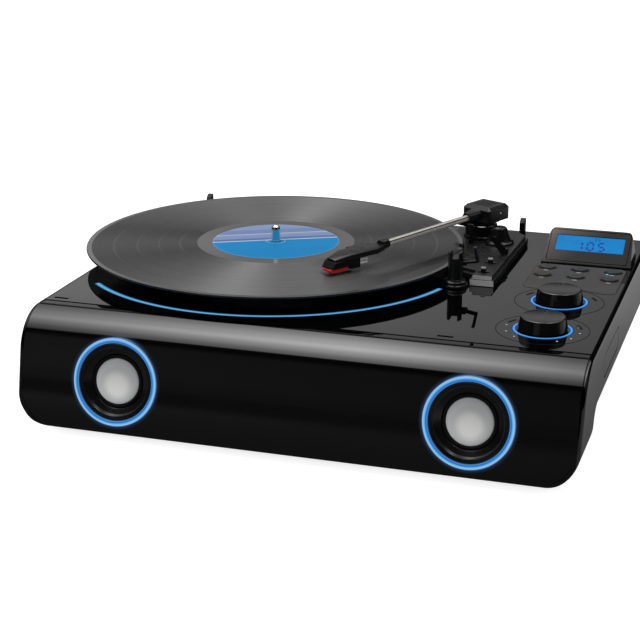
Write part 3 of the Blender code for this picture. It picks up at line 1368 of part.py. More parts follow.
def arm_housing_and_tube():
    """The chamfered housing with its collar, and the chromed tube."""
    low = -HOUSING_BELOW_PIN
    high = HOUSING_ABOVE_PIN
    levels = ((low, 0), (HOUSING_SHOULDER, 0), (high, HOUSING_CROWN))
    sections = [[(x, y, z) for x, y in housing_outline(inset)] for z, inset in levels]
    collar_front = -HOUSING_FRONT - COLLAR_LENGTH
    neck_root = HOUSING_WALL / 2 - HOUSING_FRONT
    radius = COLLAR_RADIUS
    neck_sections = []
    for y, half, bottom, top, cut in (
        (collar_front, radius, TUBE_ABOVE_PIN - radius, TUBE_ABOVE_PIN + radius, radius / 2),
        (neck_root, NECK_WIDTH / 2, low + NECK_CUT, HOUSING_SHOULDER, NECK_CUT),
    ):
        neck_sections.append([
            (-half, y, bottom + cut), (cut - half, y, bottom), (half - cut, y, bottom),
            (half, y, bottom + cut), (half, y, top - cut), (half - cut, y, top),
            (cut - half, y, top), (-half, y, top - cut),
        ])
    housing = piece("arm_housing", "satin_black", loft(sections), loft(neck_sections))
    boolean(housing, prism(housing_outline(HOUSING_WALL), low - OVERRUN, HOUSING_SHOULDER))
    boolean(housing, prism(
        circle(0, TUBE_ABOVE_PIN, TUBE_RADIUS + GAP, TUBE_STEPS),
        collar_front - OVERRUN, collar_front + TUBE_SOCKET + GAP, "Y"))
    boolean(housing, prism(
        circle(0, 0, PIN_RADIUS + PIN_CLEARANCE, PIN_STEPS), -HOUSING_WIDTH, HOUSING_WIDTH, "X"))
    tube = piece("arm_tube", "chrome", prism(
        circle(0, TUBE_ABOVE_PIN, TUBE_RADIUS, TUBE_STEPS),
        -TUBE_END, collar_front + TUBE_SOCKET, "Y"))
    return housing, tube


def headshell_pieces():
    """Headshell with finger lift, cartridge and red stylus, drawn from the tube's end forward."""
    half = SHELL_WIDTH / 2
    tip_half = SHELL_TIP_WIDTH / 2
    plan = [
        (SHELL_CAP / 2, COLLAR_RADIUS, SHELL_TOP), (SHELL_SHOULDER, half, SHELL_TOP),
        (SHELL_SLOPE_START, half, SHELL_TOP), (SHELL_LENGTH, tip_half, SHELL_TIP_TOP),
    ]
    sections = [
        [(-wide, -along, SHELL_BOTTOM), (wide, -along, SHELL_BOTTOM), (wide, -along, top),
         (-wide, -along, top)]
        for along, wide, top in plan
    ]
    bore = TUBE_RADIUS + GAP
    collar = turned([
        (0, -SHELL_CAP), (COLLAR_RADIUS, -SHELL_CAP), (COLLAR_RADIUS, SHELL_COLLAR_LENGTH),
        (bore, SHELL_COLLAR_LENGTH), (bore, -GAP), (0, -GAP),
    ], TUBE_STEPS, "Y")
    bmesh.ops.rotate(
        collar, verts=collar.verts, cent=(0, 0, 0), matrix=Matrix.Rotation(SHELL_OFFSET_ANGLE, 3, "Z"))
    wing_end = -LIFT_START - LIFT_LENGTH
    wing = prism([
        (-half + LIFT_THICKNESS, -LIFT_START), (-half + LIFT_THICKNESS, wing_end),
        (-half - LIFT_WIDTH, wing_end), (-half - LIFT_WIDTH, -LIFT_START - LIFT_LENGTH / 3),
    ], SHELL_TOP - 2 * LIFT_THICKNESS, SHELL_TOP - LIFT_THICKNESS)
    shell = piece("headshell", "satin_black", loft(sections), collar, wing)

    cartridge_top = SHELL_BOTTOM - GAP
    body_top = STYLUS_TOP - GAP
    half = CARTRIDGE_WIDTH / 2
    cartridge_side = [
        (-CARTRIDGE_START, cartridge_top), (-CARTRIDGE_START, CARTRIDGE_LOW),
        (-STYLUS_START + GAP, CARTRIDGE_LOW), (-STYLUS_START + GAP, STYLUS_TOP),
        (-CARTRIDGE_END, STYLUS_TOP), (-SHELL_LENGTH, cartridge_top),
    ]
    cartridge = piece("cartridge", "satin_black", prism(cartridge_side, -half, half, "X"))

    half = STYLUS_WIDTH / 2
    side = [
        (-STYLUS_START, body_top), (-STYLUS_START - STYLUS_SLANT, STYLUS_LOW),
        (-STYLUS_AT - STYLUS_NECK_RADIUS, STYLUS_LOW),
        (-STYLUS_END, (body_top + STYLUS_LOW) / 2), (-STYLUS_END, body_top),
    ]
    tip_low = RECORD_TOP + GAP - PIN_HEIGHT - TUBE_ABOVE_PIN
    tip = turned([
        (0, tip_low), (STYLUS_TIP_RADIUS, tip_low), (STYLUS_NECK_RADIUS, STYLUS_LOW + GAP),
        (0, STYLUS_LOW + GAP),
    ], PIN_STEPS, at=(0, -STYLUS_AT, 0))
    stylus = piece("stylus", "red_plastic", prism(side, -half, half, "X"), tip)
    return shell, cartridge, stylus


def arm_rest():
    """The forked post and the hook that locks the arm in it."""
    at = (PLATTER_X + REST_X, PLATTER_Y + REST_Y, DECK_Z)
    inner = REST_FLANGE_RADIUS - REST_FLANGE_STEP
    post = turned([
        (0, GAP), (REST_FLANGE_RADIUS, GAP), (REST_FLANGE_RADIUS, REST_FLANGE_THICKNESS / 2),
        (inner, REST_FLANGE_THICKNESS / 2), (inner, REST_FLANGE_THICKNESS),
        (REST_RADIUS, REST_FLANGE_THICKNESS + REST_FLANGE_STEP), (REST_RADIUS, REST_TOP),
        (0, REST_TOP),
    ], ROUND_STEPS)
    rest = piece("arm_rest", "satin_black", post)
    notch = REST_NOTCH_WIDTH / 2
    notch_tool = box(
        (-notch, -REST_FLANGE_RADIUS, REST_TOP - REST_NOTCH_DEPTH),
        (notch, REST_FLANGE_RADIUS, REST_TOP + OVERRUN))
    boolean(rest, notch_tool)
    half = REST_RADIUS
    hub_x = half + CLIP_FROM_POST
    ear_inner = CLIP_WIDTH / 2 + GAP
    ear_outer = ear_inner + CLIP_EAR_THICKNESS
    ears = []
    bores = []
    for low, high in ((-ear_outer, -ear_inner), (ear_inner, ear_outer)):
        ears.append(box(
            (half - CLIP_EAR_ROOT, low, CLIP_HEIGHT - CLIP_HUB_RADIUS),
            (hub_x + CLIP_HUB_RADIUS, high, CLIP_HEIGHT + CLIP_HUB_RADIUS)))
        bores.append(prism(
            circle(hub_x, CLIP_HEIGHT, CLIP_PIN_RADIUS + GAP, PIN_STEPS), low - OVERRUN, high + OVERRUN, "Y"))
    boolean(rest, group("rest_ear_tool", "satin_black", ears), "UNION")
    boolean(rest, group("rest_bore_tool", "satin_black", bores))
    rest.location = at
    for modifier in rest.modifiers:
        modifier.object.location = at

    thick = CLIP_THICKNESS / 2
    hub = CLIP_HUB_RADIUS
    corner = CLIP_ARM
    outline = [
        (-thick, -thick), (thick, -thick), (thick, corner + thick), (-CLIP_REACH, corner + thick),
        (-CLIP_REACH, corner - CLIP_LIP), (-CLIP_REACH + CLIP_THICKNESS, corner - thick),
        (-thick, corner - thick),
    ]
    clip = piece(
        "arm_rest_clip", "satin_black",
        prism(outline, -CLIP_WIDTH / 2, CLIP_WIDTH / 2, "Y"),
        prism(circle(0, 0, hub, PIN_STEPS), -CLIP_WIDTH / 2, CLIP_WIDTH / 2, "Y"),
        prism(circle(0, 0, CLIP_PIN_RADIUS, PIN_STEPS), -ear_outer, ear_outer, "Y"))
    carry(axis_empty(
        "arm_rest_clip_axis", (at[0] + hub_x, at[1], at[2] + CLIP_HEIGHT), (0, CLIP_OPEN, 0)), clip)


def side_flap():
    """The door in the right side, hung on two stubs, and the mechanism behind it."""
    length = DOOR_Y[1] - DOOR_Y[0]
    plate = prism(
        rounded_rectangle(
            DOOR_Y[0], DOOR_TOP - DOOR_HEIGHT, DOOR_Y[1], DOOR_TOP, DOOR_CORNER),
        RIGHT - DOOR_THICKNESS, RIGHT, "X")
    bmesh.ops.translate(plate, verts=plate.verts, vec=(-DOOR_AXIS_X, -DOOR_Y[0], -DOOR_AXIS_Z))
    half = DOOR_FLANGE / 2
    flange = box(
        (-half, DOOR_CORNER, -half),
        (RIGHT - DOOR_AXIS_X - DOOR_THICKNESS / 2, length - DOOR_CORNER, half))
    stubs = prism(
        circle(0, 0, DOOR_STUB_RADIUS, PIN_STEPS), -DOOR_STUB_LENGTH, length + DOOR_STUB_LENGTH, "Y")
    door = piece("side_door", "gloss_black", plate, flange, stubs)
    carry(axis_empty("side_door_axis", (DOOR_AXIS_X, DOOR_Y[0], DOOR_AXIS_Z)), door)

    far = RIGHT - WALL - MECHANISM_FROM_WALL
    near = far - MECHANISM_LENGTH
    front = DOOR_Y[0] - MECHANISM_OVERHANG
    back = DOOR_Y[1] + MECHANISM_OVERHANG
    foot = BODY_Z + WALL + GAP
    floor = foot + MECHANISM_FOOT
    top = floor + SLOT_HEIGHT + 2 * MECHANISM_WALL
    outline = [
        (front, foot), (front + MECHANISM_FOOT_WIDTH, foot), (front + MECHANISM_FOOT_WIDTH, floor),
        (back - MECHANISM_FOOT_WIDTH, floor), (back - MECHANISM_FOOT_WIDTH, foot), (back, foot),
        (back, top), (front, top),
    ]
    mechanism = piece("cassette_mechanism", "steel", prism(outline, near, far, "X"))
    boolean(mechanism, box(
        (near + MECHANISM_WALL, front + MECHANISM_WALL, floor + MECHANISM_WALL),
        (far + OVERRUN, back - MECHANISM_WALL, floor + MECHANISM_WALL + SLOT_HEIGHT)))


def connector_panel():
    """The block in the rear wall with two recessed line jacks and a power socket."""
    middle_x = RIGHT - CONNECTOR_FROM_RIGHT
    middle_z = DECK_Z - CONNECTOR_BELOW_DECK
    face = BACK - CONNECTOR_SINK
    block = piece("connector_panel", "matte_black", box(
        (middle_x - CONNECTOR_WIDTH / 2, face - CONNECTOR_DEPTH, middle_z - CONNECTOR_HEIGHT / 2),
        (middle_x + CONNECTOR_WIDTH / 2, face, middle_z + CONNECTOR_HEIGHT / 2)))
    holes = []
    for place in (-1, 0):
        at = (middle_x + place * JACK_SPACING, face, middle_z)
        holes.append(turned(
            ring_profile(JACK_RADIUS, JACK_RELIEF_RADIUS, -JACK_DEPTH, OVERRUN), TUBE_STEPS, "Y", at))
        holes.append(prism(
            circle(at[0], middle_z, JACK_BORE_RADIUS, PIN_STEPS), face - JACK_DEPTH, face + OVERRUN, "Y"))
    holes.append(prism(
        circle(middle_x + JACK_SPACING, middle_z, POWER_BORE_RADIUS, TUBE_STEPS),
        face - POWER_BORE_DEPTH, face + OVERRUN, "Y"))
    boolean(block, group("connector_hole_tool", "matte_black", holes))


def build():
    """Make every piece."""
    clear_scene()
    cabinet()
    deck_plate()
    front_face()
    underside()
    light_arc()
    cover_hinge_lugs()
    drive()
    display()
    controls()
    arm_base()
    cueing()
    arm()
    arm_rest()
    speakers()
    side_flap()
    connector_panel()


build()
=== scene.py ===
"""Looks of the retro turntable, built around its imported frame.

Metres. Lengths are taken in deck coordinates: the origin is on the platter's
axis at the height of the deck, +X to the right, +Y to the rear, +Z up.
"""
from math import atan2, cos, degrees, hypot, pi, radians, sin, tan

import bmesh
import bpy
from mathutils import Matrix, Vector

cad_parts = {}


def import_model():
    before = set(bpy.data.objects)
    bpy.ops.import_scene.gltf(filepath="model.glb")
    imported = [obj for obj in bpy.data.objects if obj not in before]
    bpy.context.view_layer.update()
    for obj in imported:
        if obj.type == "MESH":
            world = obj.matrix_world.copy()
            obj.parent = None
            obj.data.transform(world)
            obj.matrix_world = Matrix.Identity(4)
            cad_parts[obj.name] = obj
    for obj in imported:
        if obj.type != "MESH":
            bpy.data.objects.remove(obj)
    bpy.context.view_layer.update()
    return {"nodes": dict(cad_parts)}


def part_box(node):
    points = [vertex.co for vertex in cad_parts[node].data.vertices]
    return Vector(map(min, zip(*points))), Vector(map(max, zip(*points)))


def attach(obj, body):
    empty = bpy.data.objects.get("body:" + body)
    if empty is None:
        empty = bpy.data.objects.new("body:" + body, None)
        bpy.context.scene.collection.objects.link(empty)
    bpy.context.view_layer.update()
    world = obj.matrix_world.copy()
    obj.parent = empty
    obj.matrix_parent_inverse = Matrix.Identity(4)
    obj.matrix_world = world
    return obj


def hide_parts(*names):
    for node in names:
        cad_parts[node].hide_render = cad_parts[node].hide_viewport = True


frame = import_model()

HALF_TURN = pi
FULL_TURN = 2 * pi
QUARTER = pi / 2
GAP = 0.0003
OVERRUN = 0.001
SHARP_ANGLE = radians(32)
LEAST_LEAN = 0.5
ROUND_STEPS = 32
FINE_STEPS = 96
SLAB_STEPS = 3
CORNER_STEPS = 6
NORMAL_WEIGHT = 100

# The deck frame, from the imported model
record_low, record_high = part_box("record")
CENTRE = Vector((
    (record_low[0] + record_high[0]) / 2, (record_low[1] + record_high[1]) / 2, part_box("top_deck")[1][2]))
DECK = Matrix.Translation(CENTRE)


def deck_box(node):
    """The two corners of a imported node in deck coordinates."""
    return [Vector(corner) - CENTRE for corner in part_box(node)]


# Cabinet
shell_low, shell_high = deck_box("cabinet_shell")
LEFT = shell_low.x
RIGHT = shell_high.x
BACK = shell_high.y
FOOT_Z = shell_low.z
BODY_HEIGHT = 0.044
WALL = 0.003
BEAD = 0.003
BEAD_STEPS = 8
LEDGE = 0.004
LEDGE_THICK = 0.003
DECK_THICK = 0.003
CABINET_DEPTH = 0.3455
FRONT = BACK - CABINET_DEPTH
FRONT_TILT = radians(11)
TILT_TAN = tan(FRONT_TILT)
TILT_COS = cos(FRONT_TILT)
NOSE_RADIUS = 0.032
NOSE_STEPS = 40
TOE_RADIUS = 0.007
TOE_STEPS = 6
FRONT_LIP = 0.003
BOX_DEPTH = 0.057
BOX_REAR = FRONT + BOX_DEPTH
BOX_CORNER = 0.030
BOX_CORNER_STEPS = 16
HEEL_RADIUS = 0.010
SWEEP_RADIUS = 0.014
SWEEP_STEPS = 8
SEAM_Y = -0.1577
FACE_FOOT_Y = FRONT - TOE_RADIUS * (TILT_TAN + 1 / TILT_COS - 1)
PANEL_EDGE = 0.0004
SEAM_DROP = 0.0004
CREASE_ANGLE = radians(2.6)
NOTCH_LENGTH = 0.0115
NOTCH_WIDTH = 0.003
NOTCH_DEPTH = 0.0015
NOTCH_FROM_SEAM = 0.0048
NOTCH_PLACES = (-0.116, 0.176)


# Mesh tools

def arc(centre, across, start, end, steps, up=None):
    """Points on a circle, or on an ellipse, from one angle to another."""
    up = across if up is None else up
    turns = [start + (end - start) * i / steps for i in range(steps + 1)]
    return [(centre[0] + across * cos(a), centre[1] + up * sin(a)) for a in turns]


def circle(x, y, radius, steps=ROUND_STEPS, up=None):
    """A closed round or oval outline."""
    return arc((x, y), radius, 0, FULL_TURN, steps, up)[:-1]


def quarter_round(edge, steps):
    """Pairs of a step along and a step in that round an edge off."""
    turns = [QUARTER * i / steps for i in range(steps + 1)]
    return [(edge * (1 - cos(a)), edge * (1 - sin(a))) for a in turns]


def rounded_rectangle(left, front, right, back, radius, steps=CORNER_STEPS):
    """A closed rectangular outline with round corners."""
    west, south, east, north = left + radius, front + radius, right - radius, back - radius
    points = []
    for i, centre in enumerate(((east, north), (west, north), (west, south), (east, south))):
        points += arc(centre, radius, i * QUARTER, (i + 1) * QUARTER, steps)
    return points


def band(inner, outer, start, end, steps, centre=(0, 0)):
    """A flat band that follows part of a circle."""
    return arc(centre, outer, start, end, steps) + arc(centre, inner, end, start, steps)


def inset(outline, depth):
    """An outline moved inwards by a depth; it runs counterclockwise."""
    moved_in = []
    for i, (x, y) in enumerate(outline):
        following = outline[(i + 1) % len(outline)]
        before = Vector((x - outline[i - 1][0], y - outline[i - 1][1])).normalized()
        after = Vector((following[0] - x, following[1] - y)).normalized()
        square = Vector((-before.y, before.x))
        normal = Vector((-before.y - after.y, before.x + after.x))
        if normal.length < GAP:
            normal = square.copy()
        normal.normalize()
        lean = max(LEAST_LEAN, normal.dot(square))
        moved_in.append((x + normal.x * depth / lean, y + normal.y * depth / lean))
    return moved_in


def place(point, level, axis):
    """A point of a flat outline, put square to an axis."""
    first, second = point
    return {"X": (level, first, second), "Y": (first, level, second), "Z": (first, second, level)}[axis]


def loft(sections):
    """A closed solid through outlines that have the same number of points."""
    bm = bmesh.new()
    rings = [[bm.verts.new(point) for point in section] for section in sections]
    count = len(rings[0])
    for ring, following in zip(rings, rings[1:]):
        for i in range(count):
            j = (i + 1) % count
            bm.faces.new((ring[i], ring[j], following[j], following[i]))
    bm.faces.new(rings[0])
    bm.faces.new(reversed(rings[-1]))
    return bm


def prism(outline, low, high, axis="Z"):
    """A closed prism with sharp edges."""
    return loft([[place(point, level, axis) for point in outline] for level in (low, high)])


def rod(x, y, radius, low, high, axis="Z", steps=ROUND_STEPS):
    """A round prism along an axis."""
    return prism(circle(x, y, radius, steps), low, high, axis)


def box(low, high):
    """A closed box between two corners."""
    outline = [(low[0], low[1]), (high[0], low[1]), (high[0], high[1]), (low[0], high[1])]
    return prism(outline, low[2], high[2])


def block(x, y, width, depth, low, high):
    """A box round a place, between two heights."""
    return box((x - width / 2, y - depth / 2, low), (x + width / 2, y + depth / 2, high))


def slab(outline, low, high, edge, axis="Z", both=True):
    """A prism whose ends have round edges, or its upper end only."""
    rounding = quarter_round(edge, SLAB_STEPS)
    levels = [(low + along, depth) for along, depth in rounding] if both else [(low, 0)]
    levels += [(high - along, depth) for along, depth in rounding[::-1]]
    return loft([
        [place(point, level, axis) for point in (inset(outline, depth) if depth else outline)]
        for level, depth in levels])


def turned(profile, steps=FINE_STEPS, axis="Z", at=(0, 0, 0)):
    """A solid of revolution of a closed outline of (radius, height)."""
    bm = bmesh.new()
    turns = [FULL_TURN * i / steps for i in range(steps)]
    rings = []
    for radius, height in profile:
        ring = []
        for turn in turns if radius else (0,):
            point = place((radius * cos(turn), radius * sin(turn)), height, axis)
            ring.append(bm.verts.new([c + offset for c, offset in zip(point, at)]))
        rings.append(ring if radius else ring * steps)
    for ring, following in zip(rings, rings[1:] + rings[:1]):
        for i in range(steps):
            j = (i + 1) % steps
            corners = list(dict.fromkeys((ring[i], ring[j], following[j], following[i])))
            if len(corners) > 2:
                bm.faces.new(corners)
    return bm


def hoop(inner, outer, low, high, **more):
    """A flat ring, or a disc if inner is zero."""
    return turned([(inner, low), (outer, low), (outer, high), (inner, high)], **more)


def moved(bm, matrix):
    """A solid put in place by a matrix."""
    bmesh.ops.transform(bm, matrix=matrix, verts=bm.verts)
    return bm


def joined(solids):
    """Several closed solids in one bmesh."""
    bm = bmesh.new()
    for solid in solids:
        mesh = bpy.data.meshes.new("joined")
        bmesh.ops.recalc_face_normals(solid, faces=solid.faces)
        solid.to_mesh(mesh)
        solid.free()
        bm.from_mesh(mesh)
        bpy.data.meshes.remove(mesh)
    return bm


def raw_object(name, bm, matrix=Matrix()):
    """An object from a bmesh, with its faces pointing out."""
    bmesh.ops.recalc_face_normals(bm, faces=bm.faces)
    mesh = bpy.data.meshes.new(name)
    bm.to_mesh(mesh)
    bm.free()
    mesh.transform(matrix)
    obj = bpy.data.objects.new(name, mesh)
    bpy.context.scene.collection.objects.link(obj)
    return obj


def carved(bm, tools, operation="DIFFERENCE"):
    """A solid with tools cut from it, or joined to it, by exact Booleans."""
    obj = raw_object("carving", bm)
    helpers = [raw_object("carving_tool", tool) for tool in tools]
    for helper in helpers:
        modifier = obj.modifiers.new("carve", "BOOLEAN")
        modifier.operation = operation
        modifier.solver = "EXACT"
        modifier.object = helper
    bpy.context.view_layer.update()
    evaluated = obj.evaluated_get(bpy.context.evaluated_depsgraph_get())
    result = bmesh.new()
    result.from_mesh(evaluated.to_mesh())
    evaluated.to_mesh_clear()
    for extra in [obj] + helpers:
        mesh = extra.data
        bpy.data.objects.remove(extra, do_unlink=True)
        bpy.data.meshes.remove(mesh)
    return result


def fused(bm, parts):
    """A solid with parts joined to it."""
    return carved(bm, parts, "UNION")


def paint(bm, test):
    """Give the faces that pass a test of middle and normal the second finish."""
    bm.normal_update()
    for face in bm.faces:
        if test(face.calc_center_median(), face.normal):
            face.material_index = 1
    return bm


def piece(name, bm, finishes, node=None, body="cabinet", matrix=DECK, own=False,
          smooth=SHARP_ANGLE, edge=None):
    """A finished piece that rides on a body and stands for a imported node.

    With own, the matrix stays the piece's own frame, which its finish follows.
    With edge, a bevel of that width rounds its sharp edges.
    """
    obj = raw_object(name, bm, Matrix() if own else matrix)
    mesh = obj.data
    for finish in finishes if isinstance(finishes, tuple) else (finishes,):
        mesh.materials.append(finish)
    mesh.shade_smooth()
    mesh.set_sharp_from_angle(angle=smooth)
    if own:
        obj.matrix_world = matrix
        bpy.context.view_layer.update()
    if edge:
        bevel = obj.modifiers.new("round_edges", "BEVEL")
        bevel.width = edge
        bevel.segments = 2
        bevel.limit_method = "ANGLE"
        bevel.angle_limit = SHARP_ANGLE
    weighted = obj.modifiers.new("even_shading", "WEIGHTED_NORMAL")
    weighted.keep_sharp = True
    weighted.weight = NORMAL_WEIGHT
    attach(obj, body)
    if node:
        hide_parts(node)


# Materials

NOISE_DETAIL = 3.0
NOISE_SPAN = (0.3, 0.7)
GRAIN_SPREAD = (0.85, 1.15)
GRAIN_SCALE = 900
GRAIN_RELIEF = 0.00004
GRAIN_TINT = 0.12
GLOSS_SPREAD = (0.7, 1.3)
GLOSS_SCALE = 60
GLOSS_TINT_SCALE = 40
GLOSS_TINT = 0.10
METAL_SPREAD = (0.8, 1.25)
METAL_SCALE = 300
METAL_RELIEF = 0.00001
METAL_TINT = 0.05
ROUGH_COARSER = 4
TINT_COARSER = 10
PEAK_PLACES = (0.0, 0.16, 0.42, 0.60, 0.86, 1.0)
PEAK_DARK = 0.25
LIGHT_ROUGH = 0.3
GLOW_SPAN = (0.35, 0.65)
GLOW_SPREAD = (0.94, 1.06)
GLOW_SCALE = 120
GLOW_BASE = 0.05


def shade(value):
    """A colour, from a colour or from a level of grey."""
    return value if isinstance(value, tuple) else (value,) * 3


class Nodes:
    """A node tree with short ways to add and link its nodes."""

    def __init__(self, tree):
        self.tree = tree

    def put(self, socket, value):
        """Link an output to a socket, or give the socket a plain value."""
        if isinstance(value, bpy.types.NodeSocket):
            self.tree.links.new(value, socket)
        else:
            socket.default_value = value

    def add(self, kind, inputs=(), output=0, **settings):
        """Add a node and give back one of its outputs."""
        node = self.tree.nodes.new("ShaderNode" + kind)
        for key, value in settings.items():
            setattr(node, key, value)
        for key, value in dict(inputs).items():
            self.put(node.inputs[key], value)
        return node.outputs[output]

    def end(self, kind, surface):
        """Add the output node."""
        node = self.tree.nodes.new("ShaderNodeOutput" + kind)
        self.put(node.inputs["Surface"], surface)

    def math(self, operation, *values):
        return self.add("Math", enumerate(values), operation=operation)

    def vector(self, operation, *values, output="Value"):
        return self.add("VectorMath", enumerate(values), output, operation=operation)

    def split(self, vector):
        """The three shares of a vector."""
        return self.add("SeparateXYZ", {"Vector": vector}).node.outputs

    def span(self, value, low, high, first=0.0, last=1.0):
        """A value mapped from one range to another."""
        return self.add("MapRange", {
            "Value": value, "From Min": low, "From Max": high, "To Min": first, "To Max": last})

    def ramp(self, value, stops, interpolation="LINEAR"):
        """A colour ramp of (place, shade) stops."""
        colour = self.add("ValToRGB", {"Fac": value})
        ramp = colour.node.color_ramp
        ramp.interpolation = interpolation
        while len(ramp.elements) < len(stops):
            ramp.elements.new(1.0)
        for element, (at, look) in zip(ramp.elements, stops):
            element.position = at
            element.color = (*shade(look), 1.0)
        return colour


class Finish(Nodes):
    """A Principled material with procedural detail in object coordinates."""

    def __init__(self, name, colour, roughness, **sockets):
        self.material = bpy.data.materials.new(name)
        self.material.use_nodes = True
        super().__init__(self.material.node_tree)
        self.shader = self.tree.nodes["Principled BSDF"]
        self.colour = shade(colour)
        self.place = self.add("TexCoord", output="Object")
        self.set(Base_Color=(*self.colour, 1.0), Roughness=roughness, **sockets)

    def set(self, **sockets):
        """Set or link the shader's sockets; an underscore stands for a space."""
        for name, value in sockets.items():
            self.put(self.shader.inputs[name.replace("_", " ")], value)
        return self.material

    def noise(self, scale, stretch=None):
        """Noise at a scale in features per metre, stretched along an axis if asked."""
        where = self.place
        if stretch:
            where = self.add("Mapping", {"Scale": stretch, "Vector": where})
        return self.add("TexNoise", {"Scale": scale, "Detail": NOISE_DETAIL, "Vector": where})

    def vary(self, scale, low, high, stretch=None):
        """Roughness that varies over the surface."""
        self.set(Roughness=self.span(self.noise(scale, stretch), *NOISE_SPAN, low, high))

    def mottle(self, scale, span, spread):
        """The colour, varied a little over the surface."""
        shades = [tuple(min(1.0, c * share) for c in self.colour) for share in spread]
        return self.ramp(self.noise(scale), list(zip(span, shades)))

    def bump(self, height, distance, strength=1.0):
        """Fine relief from a height value."""
        return self.set(Normal=self.add("Bump", {
            "Distance": distance, "Strength": strength, "Height": height}))

    def radius(self):
        """The distance from the object's own Z axis."""
        x, y, _ = self.split(self.place)
        return self.vector("LENGTH", self.add("CombineXYZ", {"X": x, "Y": y}))


def mottled(name, colour, roughness, spread, rough_scale, tint_scale, tint, stretch=None, **more):
    """A finish whose roughness and colour vary over the surface."""
    finish = Finish(name, colour, roughness, **more)
    finish.vary(rough_scale, *(roughness * level for level in spread), stretch)
    finish.set(Base_Color=finish.mottle(tint_scale, NOISE_SPAN, (1 - tint, 1 + tint)))
    return finish


def grained(name, colour, roughness, scale=GRAIN_SCALE, relief=GRAIN_RELIEF, **more):
    """Moulded plastic with a fine grain."""
    finish = mottled(
        name, colour, roughness, GRAIN_SPREAD, scale / ROUGH_COARSER, scale / TINT_COARSER, GRAIN_TINT,
        **more)
    return finish.bump(finish.noise(scale), relief)


def polished(name, colour, roughness, **more):
    """A moulded gloss surface with faint, wide unevenness."""
    return mottled(
        name, colour, roughness, GLOSS_SPREAD, GLOSS_SCALE, GLOSS_TINT_SCALE, GLOSS_TINT, **more).material


def metal(name, colour, roughness, stretch=(1, 1, 1), scale=METAL_SCALE, relief=METAL_RELIEF, Metallic=1.0):
    """Metal with fine lines along one direction."""
    finish = mottled(
        name, colour, roughness, METAL_SPREAD, scale, scale / TINT_COARSER, METAL_TINT, stretch,
        Metallic=Metallic)
    return finish.bump(finish.noise(scale, stretch), relief)


def peaked(core, edge):
    """Shades that are brightest along the middle of a light guide."""
    dark = tuple(c * PEAK_DARK for c in edge)
    return tuple(zip(PEAK_PLACES, (dark, edge, core, core, edge, dark)))


def lit(name, shades, inner, width):
    """A light guide whose light changes from its inner to its outer edge."""
    finish = Finish(name, shades[0][1], LIGHT_ROUGH, Specular_IOR_Level=0.2)
    light = finish.ramp(finish.span(finish.radius(), inner, inner + width), shades)
    return finish.set(Emission_Color=light, Emission_Strength=1.0)


def glow(name, colour, strength=1.0, **more):
    """An evenly lit surface with a slight mottle."""
    finish = Finish(name, colour, LIGHT_ROUGH, **more)
    return finish.set(
        Emission_Color=finish.mottle(GLOW_SCALE, GLOW_SPAN, GLOW_SPREAD), Emission_Strength=strength,
        Base_Color=(*(c * GLOW_BASE for c in colour), 1.0))


GLOSS_BLACK = (0.0008, 0.0008, 0.0009)
GLOSS_ROUGH = 0.03
GLOSS = polished("gloss_black_moulding", GLOSS_BLACK, GLOSS_ROUGH)
SATIN = grained(
    "satin_black_moulding", (0.0035, 0.0035, 0.0036), 0.22, relief=0.000008, Specular_IOR_Level=0.2)
MATTE = grained("matte_black_moulding", 0.010, 0.55)
SOFT_BLACK = grained("soft_black_surround", 0.003, 0.60, 1500, Specular_IOR_Level=0.15)
RUBBER = grained("black_rubber", 0.018, 0.8, 1800)
CHROME = metal("polished_chrome", (0.80, 0.78, 0.74), 0.10)
STEEL = metal("brushed_steel", (0.45, 0.45, 0.46), 0.32, (1, 1, 12))
BRASS = metal("turned_brass", (0.60, 0.42, 0.15), 0.28, (1, 1, 12))
RED = polished("red_stylus_plastic", (0.50, 0.012, 0.010), 0.22)
PALE = grained("pale_cap_plastic", (0.24, 0.24, 0.235), 0.40)
# White print, also used as a painted shine on the chrome plug pins.
PRINT_AND_PAINTED_SHINE = grained("white_print_and_painted_shine", 0.62, 0.5)
BOARD = grained("green_board", (0.02, 0.16, 0.06), 0.5)
PANEL_SATIN = polished("satin_panel", (0.052, 0.049, 0.047), 0.45, Specular_IOR_Level=0.12)
BUTTON_BLACK = polished("button_black", 0.022, 0.32, Specular_IOR_Level=0.3)
KNOB_BLACK = polished("knob_black", 0.003, 0.10, Specular_IOR_Level=0.6)
# Painted shade: dark lines where the knobs' shallow dishes would be shaded at their edges and slots.
SHADE_LINE_BLACK = grained("painted_shade_line", 0.002, 0.5, Specular_IOR_Level=0.1)
BASE_BLACK = grained("base_black", 0.010, 0.30, relief=0.000008, Specular_IOR_Level=0.3)
BASE_FACE = metal("base_brushed_face", 0.26, 0.4, (1, 1, 14), Metallic=0.0)
HOUSING_SATIN = grained("housing_black", 0.004, 0.24, relief=0.000008, Specular_IOR_Level=0.35)
BEZEL_SATIN = grained("speaker_bezel_black", 0.003, 0.24, relief=0.000006, Specular_IOR_Level=0.4)
TUBE_CHROME = metal("tube_chrome", (0.24, 0.23, 0.21), 0.16, scale=40, relief=0.000001)
# Painted reflection: pale bands on the chrome tube, in place of light it would mirror.
TUBE_PAINTED_REFLECTION = metal(
    "tube_painted_reflection", (0.50, 0.485, 0.46), 0.25, scale=40, relief=0.000001, Metallic=0.4)
LCD_BLUE = glow("display_blue", (0.0, 0.195, 0.525), Specular_IOR_Level=0.05)
LCD_DARK = glow("display_digit", (0.006, 0.045, 0.26), Specular_IOR_Level=0.05)
LAMP_CYAN = glow("cyan_lamp", (0.10, 0.62, 0.80), 0.9)

